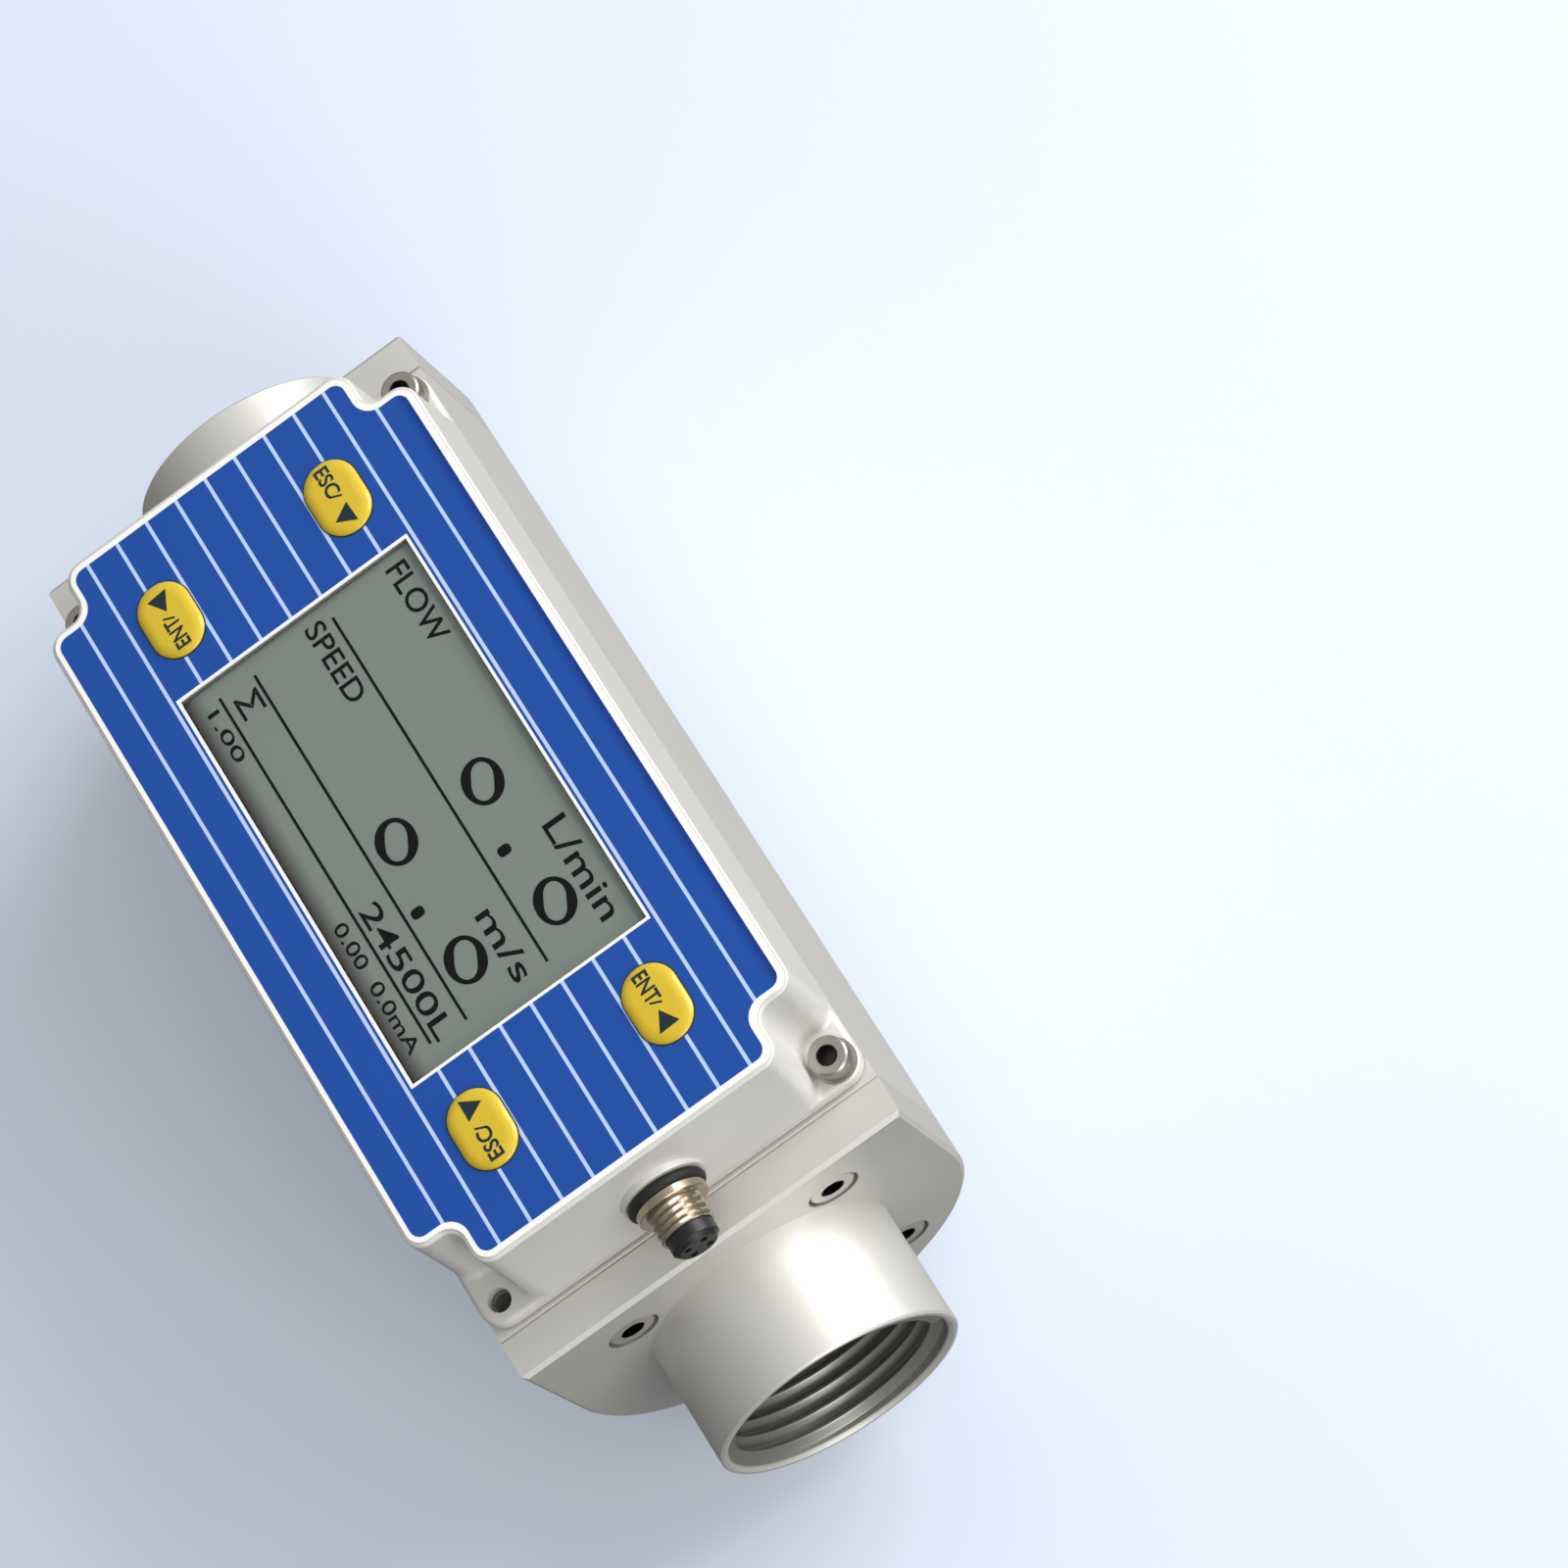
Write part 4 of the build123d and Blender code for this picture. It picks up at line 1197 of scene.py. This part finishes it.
@dataclass
class KeyCap:
    """One yellow key: a domed cap on a lip, with its printed mark.

    The cap's outline is rounder the further in it lies, by inset_rounding times the inset.
    """

    node: str
    body: str
    mark: KeyMark
    arrow_angle: float
    upside_down: bool
    lip: float = 0.8 * MM
    lip_thickness: float = 0.8 * MM
    corner: float = 3.4 * MM
    inset_rounding: float = 1.5
    fullest_corner: float = 0.97
    skirt_width: float = 0.5 * MM
    skirt_drop: float = 0.03 * MM
    shoulder_width: float = 1.7 * MM
    ink: float = 0.02 * MM
    word_half: Pair = (2.2 * MM, 1.1 * MM)
    word_x: float = -2.45 * MM
    word_weight: float = 0.02
    arrow_x: float = 2.95 * MM
    arrow_half: float = 1.6 * MM
    arrow_reach: float = 0.6
    arrow_height: float = 2.7 * MM
    slash_half: Pair = (0.85 * MM, 0.14 * MM)
    slash_corner: float = 0.05 * MM
    slash_angle: float = math.radians(66)

    def build(self, shop: Workshop) -> None:
        """Stack rounded rectangles from the lip to the crown, and print the mark on the top.

        Args:
            shop: The workshop.
        """
        low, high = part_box(self.node)
        centre, half = self.plan()
        rings = []
        for level, inset in zip(*self.profile(low.z, high.z)):
            outline = self.outline(half, inset) + centre
            rings.append(np.column_stack([outline, np.full(len(outline), level)]))
        mesh = grid_mesh(f"{self.node}_cap", np.array(rings), wrap_rows=False, caps=True)
        cap = shop.add(mesh, self.body, "key_yellow", "key_yellow")
        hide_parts(self.node)
        top = high.z + self.ink / 2
        facing = -1 if self.upside_down else 1
        turn = math.pi if self.upside_down else 0.0
        place = centre + np.array([facing * self.word_x, 0])
        corners = tuple(place - self.word_half), tuple(place + self.word_half)
        word = lettering("word", self.mark.value, *corners, top, self.ink, turn, self.word_weight)
        stroke = rounded_rectangle(*self.slash_half, self.slash_corner, steps=3)
        signs = [
            rotated(self.triangle(), self.arrow_angle) + centre + np.array([facing * self.arrow_x, 0]),
            rotated(stroke, self.slash_angle + turn) + centre,
        ]
        marks = [word, flat_shape("signs", signs, top, self.ink)]
        shop.add(joined(f"{self.node}_mark", marks), self.body, "key_ink", "key_yellow")

    def plan(self) -> tuple[np.ndarray, np.ndarray]:
        """Find where the cap stands and how large it is above its lip.

        Returns:
            Its centre, and its half length and half width.
        """
        low, high = (np.array(corner)[:2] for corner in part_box(self.node))
        return (low + high) / 2, (high - low) / 2 - self.lip

    def triangle(self) -> np.ndarray:
        """Draw the arrow's triangle, which points along X, about its middle.

        Returns:
            Its three corners.
        """
        back = -self.arrow_height * (1 - self.arrow_reach)
        return np.array([
            [self.arrow_height * self.arrow_reach, 0], [back, self.arrow_half], [back, -self.arrow_half],
        ])

    def outline(self, half: np.ndarray, inset: float) -> np.ndarray:
        """Outline of the cap drawn in by an inset, rounder the further in it lies.

        Args:
            half: Half length and half width of the cap above its lip.
            inset: How far the outline is drawn in.

        Returns:
            Points of the outline about the key's centre.
        """
        rounding = self.corner + max(inset, 0.0) * self.inset_rounding
        return rounded_rectangle(*(half - inset), min(rounding, self.fullest_corner * (half[1] - inset)))

    def opening(self, gap: float) -> np.ndarray:
        """Outline of the print's opening round the foot of the dome.

        Args:
            gap: Distance between the foot and the print.

        Returns:
            Points of the opening.
        """
        centre, half = self.plan()
        return self.outline(half + gap, self.skirt_width) + centre

    def profile(self, bottom: float, top: float) -> tuple[np.ndarray, np.ndarray]:
        """Heights and insets of the cap's rings.

        The shoulder is a quarter ellipse: inset = skirt + width * (1 - cos a), level = foot + rise * sin a.

        Args:
            bottom: Level of the lip's underside.
            top: Level of the crown.

        Returns:
            Level and inset of each ring.
        """
        foot = LABEL_TOP - self.skirt_drop
        angle = np.linspace(0, math.pi / 2, 10)
        shoulder = self.skirt_width + self.shoulder_width * (1 - np.cos(angle))
        rise = foot + (top - foot) * np.sin(angle)
        lip_top = bottom + self.lip_thickness
        levels = np.concatenate([[bottom, lip_top, lip_top, foot], [foot], rise[1:]])
        insets = np.concatenate([[-self.lip, -self.lip, 0.0, 0.0], [self.skirt_width], shoulder[1:]])
        return levels, insets


@dataclass
class PanelConnector:
    """Threaded nickel shell, its sealing ring, black insert and contacts."""

    smooth_nodes: tuple[str, ...] = (
        "connector_seal", "connector_insert", "connector_contacts", "connector_nut",
    )
    flange_thickness: float = 1.2 * MM
    flange_edge: float = 0.1 * MM
    thread_length: float = 3.8 * MM
    thread_relief: float = 0.2 * MM
    relief_share: float = 0.3
    wall: float = 0.5 * MM
    pitch: float = 1.0 * MM
    depth: float = 0.45 * MM
    thread_radius: float = 3.95 * MM
    edge: float = 0.25 * MM
    thread_rings: int = 44
    steps: int = 72

    def build(self, shop: Workshop) -> None:
        """Turn the shell's profile about its own axis, with the thread cut in as a helix.

        The groove is depth * 2 * the distance of x / pitch - a / 2 pi from the nearest whole number.

        Args:
            shop: The workshop.
        """
        low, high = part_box("connector_shell")
        centre_z = (low.z + high.z) / 2
        flange_radius = (high.z - low.z) / 2
        thread_start = high.x - self.thread_length
        flange_start = thread_start - self.flange_thickness
        bore = self.thread_radius - self.wall
        flange = [
            (low.x, self.thread_radius),
            (flange_start, self.thread_radius),
            (flange_start, flange_radius - self.flange_edge),
            (flange_start + self.flange_edge, flange_radius),
            (thread_start - self.flange_edge, flange_radius),
            (thread_start, flange_radius - self.flange_edge),
            (thread_start, self.thread_radius - self.relief_share * self.depth),
        ]
        cut = np.linspace(thread_start + self.thread_relief, high.x - self.edge, self.thread_rings)
        thread = [(place, self.thread_radius) for place in cut]
        end = [(high.x, self.thread_radius - self.edge), (high.x, bore), (low.x, bore)]
        x, radius = np.array(flange + thread + end).T
        angle = np.linspace(0, 2 * math.pi, self.steps, endpoint=False)
        threaded = (x > thread_start + self.thread_relief / 2) & (x < high.x - self.edge / 2)
        phase = (x[:, None] - thread_start) / self.pitch - angle[None, :] / (2 * math.pi)
        groove = self.depth * 2 * np.abs(phase - np.round(phase)) * threaded[:, None]
        reach = radius[:, None] - groove
        points = np.stack([
            np.broadcast_to(x[:, None], reach.shape),
            reach * np.cos(angle),
            centre_z + reach * np.sin(angle),
        ], axis=-1)
        mesh = grid_mesh("connector_threaded_shell", points, wrap_rows=True)
        shell = shop.add(mesh, METER, "connector_nickel", "connector_nickel")
        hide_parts("connector_shell")
        for node in self.smooth_nodes:
            shop.smooth(node)


@dataclass
class Internals:
    """Sensor, flow straightener, screens and boards inside the meter."""

    nodes: tuple[str, ...] = (
        "flow_straightener", "inlet_screen", "outlet_screen", "sensor_probe", "sensor_chip", "sensor_seal",
        "sensor_screws", "main_board", "main_board_screws", "board_standoffs", "board_header",
        "display_board", "display_board_screws", "backlight_tray", "key_switches",
    )

    def build(self, shop: Workshop) -> None:
        """Dress the nodes inside.

        Args:
            shop: The workshop.
        """
        for node in self.nodes:
            shop.dress(node)


@dataclass
class Studio:
    """Floor, world, lamps and the camera at the photograph's angle."""

    floor_half: float = 4.0
    floor_glow: float = 0.16
    floor_gap: float = 0.02 * MM
    floor_colour: Triple = (208, 217, 232)
    floor_roughness: float = 0.8
    floor_specular: float = 0.1
    camera_place: Triple = (0.40624, 0.12503, 0.75938)
    camera_aim: Triple = (0.10472, 0.04256, 0.04322)
    camera_roll: float = math.radians(-49.783)
    lens: float = 141.4
    sensor: float = 36.0
    key_power: float = 12.0
    key_size: float = 0.75
    key_place: Triple = (0.0, 0.95, 0.6)
    fill_power: float = 3.6
    fill_size: float = 0.6
    fill_place: Triple = (1.0, 0.3, 0.5)
    world_low: float = 0.26
    world_high: float = 0.8
    bounce_colour: Triple = (120, 122, 126)

    def build(self) -> None:
        """Put up the floor, the world, the lamps and the camera."""
        self.build_floor()
        self.build_world()
        self.build_lamp("key_lamp", self.key_place, self.key_power, self.key_size)
        self.build_lamp("fill_lamp", self.fill_place, self.fill_power, self.fill_size)
        self.build_camera()
        bpy.context.scene.view_settings.view_transform = "Standard"

    def build_floor(self) -> None:
        """Level plane under the belly of the flow body."""
        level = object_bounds()[0].z - self.floor_gap
        square = np.array([[-1, -1], [1, -1], [1, 1], [-1, 1]]) * self.floor_half
        points = np.column_stack([square, np.full(4, level)])
        mesh = bpy.data.meshes.new("floor")
        mesh.from_pydata(points.tolist(), [], [(0, 1, 2, 3)])
        material = bpy.data.materials.new("pale_floor")
        material.use_nodes = True
        tree = material.node_tree
        shader = tree.nodes["Principled BSDF"]
        path = tree.nodes.new("ShaderNodeLightPath")
        seen = path.outputs["Is Camera Ray"]
        colour = blend_colours(tree, seen, linear(*self.bounce_colour), linear(*self.floor_colour))
        tree.links.new(colour, shader.inputs["Base Color"])
        shader.inputs["Emission Color"].default_value = linear(*self.floor_colour)
        glow = math_node(tree, "MULTIPLY", seen, self.floor_glow)
        tree.links.new(glow, shader.inputs["Emission Strength"])
        shader.inputs["Roughness"].default_value = self.floor_roughness
        shader.inputs["Specular IOR Level"].default_value = self.floor_specular
        mesh.materials.append(material)
        floor = bpy.data.objects.new("floor", mesh)
        bpy.context.scene.collection.objects.link(floor)
        floor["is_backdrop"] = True

    def build_world(self) -> None:
        """Soft light that grows from the right side of the meter to its left, white where it is seen."""
        world = bpy.data.worlds.new("studio")
        bpy.context.scene.world = world
        world.use_nodes = True
        tree = world.node_tree
        background = tree.nodes["Background"]
        across = place_axes(tree, "Generated")["Y"]
        light = ramp(tree, across, -1.0, 1.0, self.world_low, self.world_high)
        path = tree.nodes.new("ShaderNodeLightPath")
        seen = math_node(tree, "MAXIMUM", path.outputs["Is Camera Ray"], path.outputs["Is Transmission Ray"])
        lit = math_node(tree, "MULTIPLY", light, math_node(tree, "SUBTRACT", 1.0, seen))
        tree.links.new(math_node(tree, "ADD", lit, seen), background.inputs["Strength"])
        background.inputs["Color"].default_value = (1.0, 1.0, 1.0, 1.0)

    def build_lamp(self, name: str, place: Triple, power: float, size: float) -> None:
        """Square area lamp aimed at the meter.

        Args:
            name: Name of the lamp.
            place: Where it stands.
            power: Its power in watts.
            size: Side of the square.
        """
        lamp = bpy.data.lights.new(name, "AREA")
        lamp.energy = power
        lamp.size = size
        holder = bpy.data.objects.new(name, lamp)
        holder.location = place
        aim = Vector(self.camera_aim) - holder.location
        holder.rotation_mode = "QUATERNION"
        holder.rotation_quaternion = aim.to_track_quat("-Z", "Y")
        bpy.context.scene.collection.objects.link(holder)

    def build_camera(self) -> None:
        """Camera that looks at its aim, rolled about its own line of sight."""
        data = bpy.data.cameras.new("camera")
        data.lens = self.lens
        data.sensor_width = self.sensor
        camera = bpy.data.objects.new("camera", data)
        camera.location = self.camera_place
        look = (Vector(self.camera_aim) - camera.location).to_track_quat("-Z", "Y")
        camera.rotation_mode = "QUATERNION"
        camera.rotation_quaternion = look @ Quaternion((0, 0, 1), self.camera_roll)
        bpy.context.scene.collection.objects.link(camera)
        bpy.context.scene.camera = camera


def key_caps() -> list[KeyCap]:
    """The four keys, with the marks and arrows that they carry."""
    return [
        KeyCap("key_inlet_left", "inlet_left_key", KeyMark.ESCAPE, math.radians(152), False),
        KeyCap("key_outlet_left", "outlet_left_key", KeyMark.ENTER, math.radians(62), False),
        KeyCap("key_inlet_right", "inlet_right_key", KeyMark.ENTER, math.radians(244), True),
        KeyCap("key_outlet_right", "outlet_right_key", KeyMark.ESCAPE, math.radians(328), True),
    ]


def main() -> None:
    """Build the sub-assemblies in order and report each piece."""
    logging.basicConfig(level=logging.INFO, format="%(name)s: %(message)s")
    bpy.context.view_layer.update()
    shop = Workshop()
    Housing().build(shop)
    PipeThread("outlet_fitting", length=20.8 * MM, mouth_side=1).build(shop)
    PipeThread("inlet_fitting", length=13.4 * MM, mouth_side=-1).build(shop)
    caps = key_caps()
    FaceLabel().build(shop, caps)
    Display().build(shop)
    for cap in caps:
        cap.build(shop)
    PanelConnector().build(shop)
    Internals().build(shop)
    Studio().build()


if __name__ == "__main__":
    main()
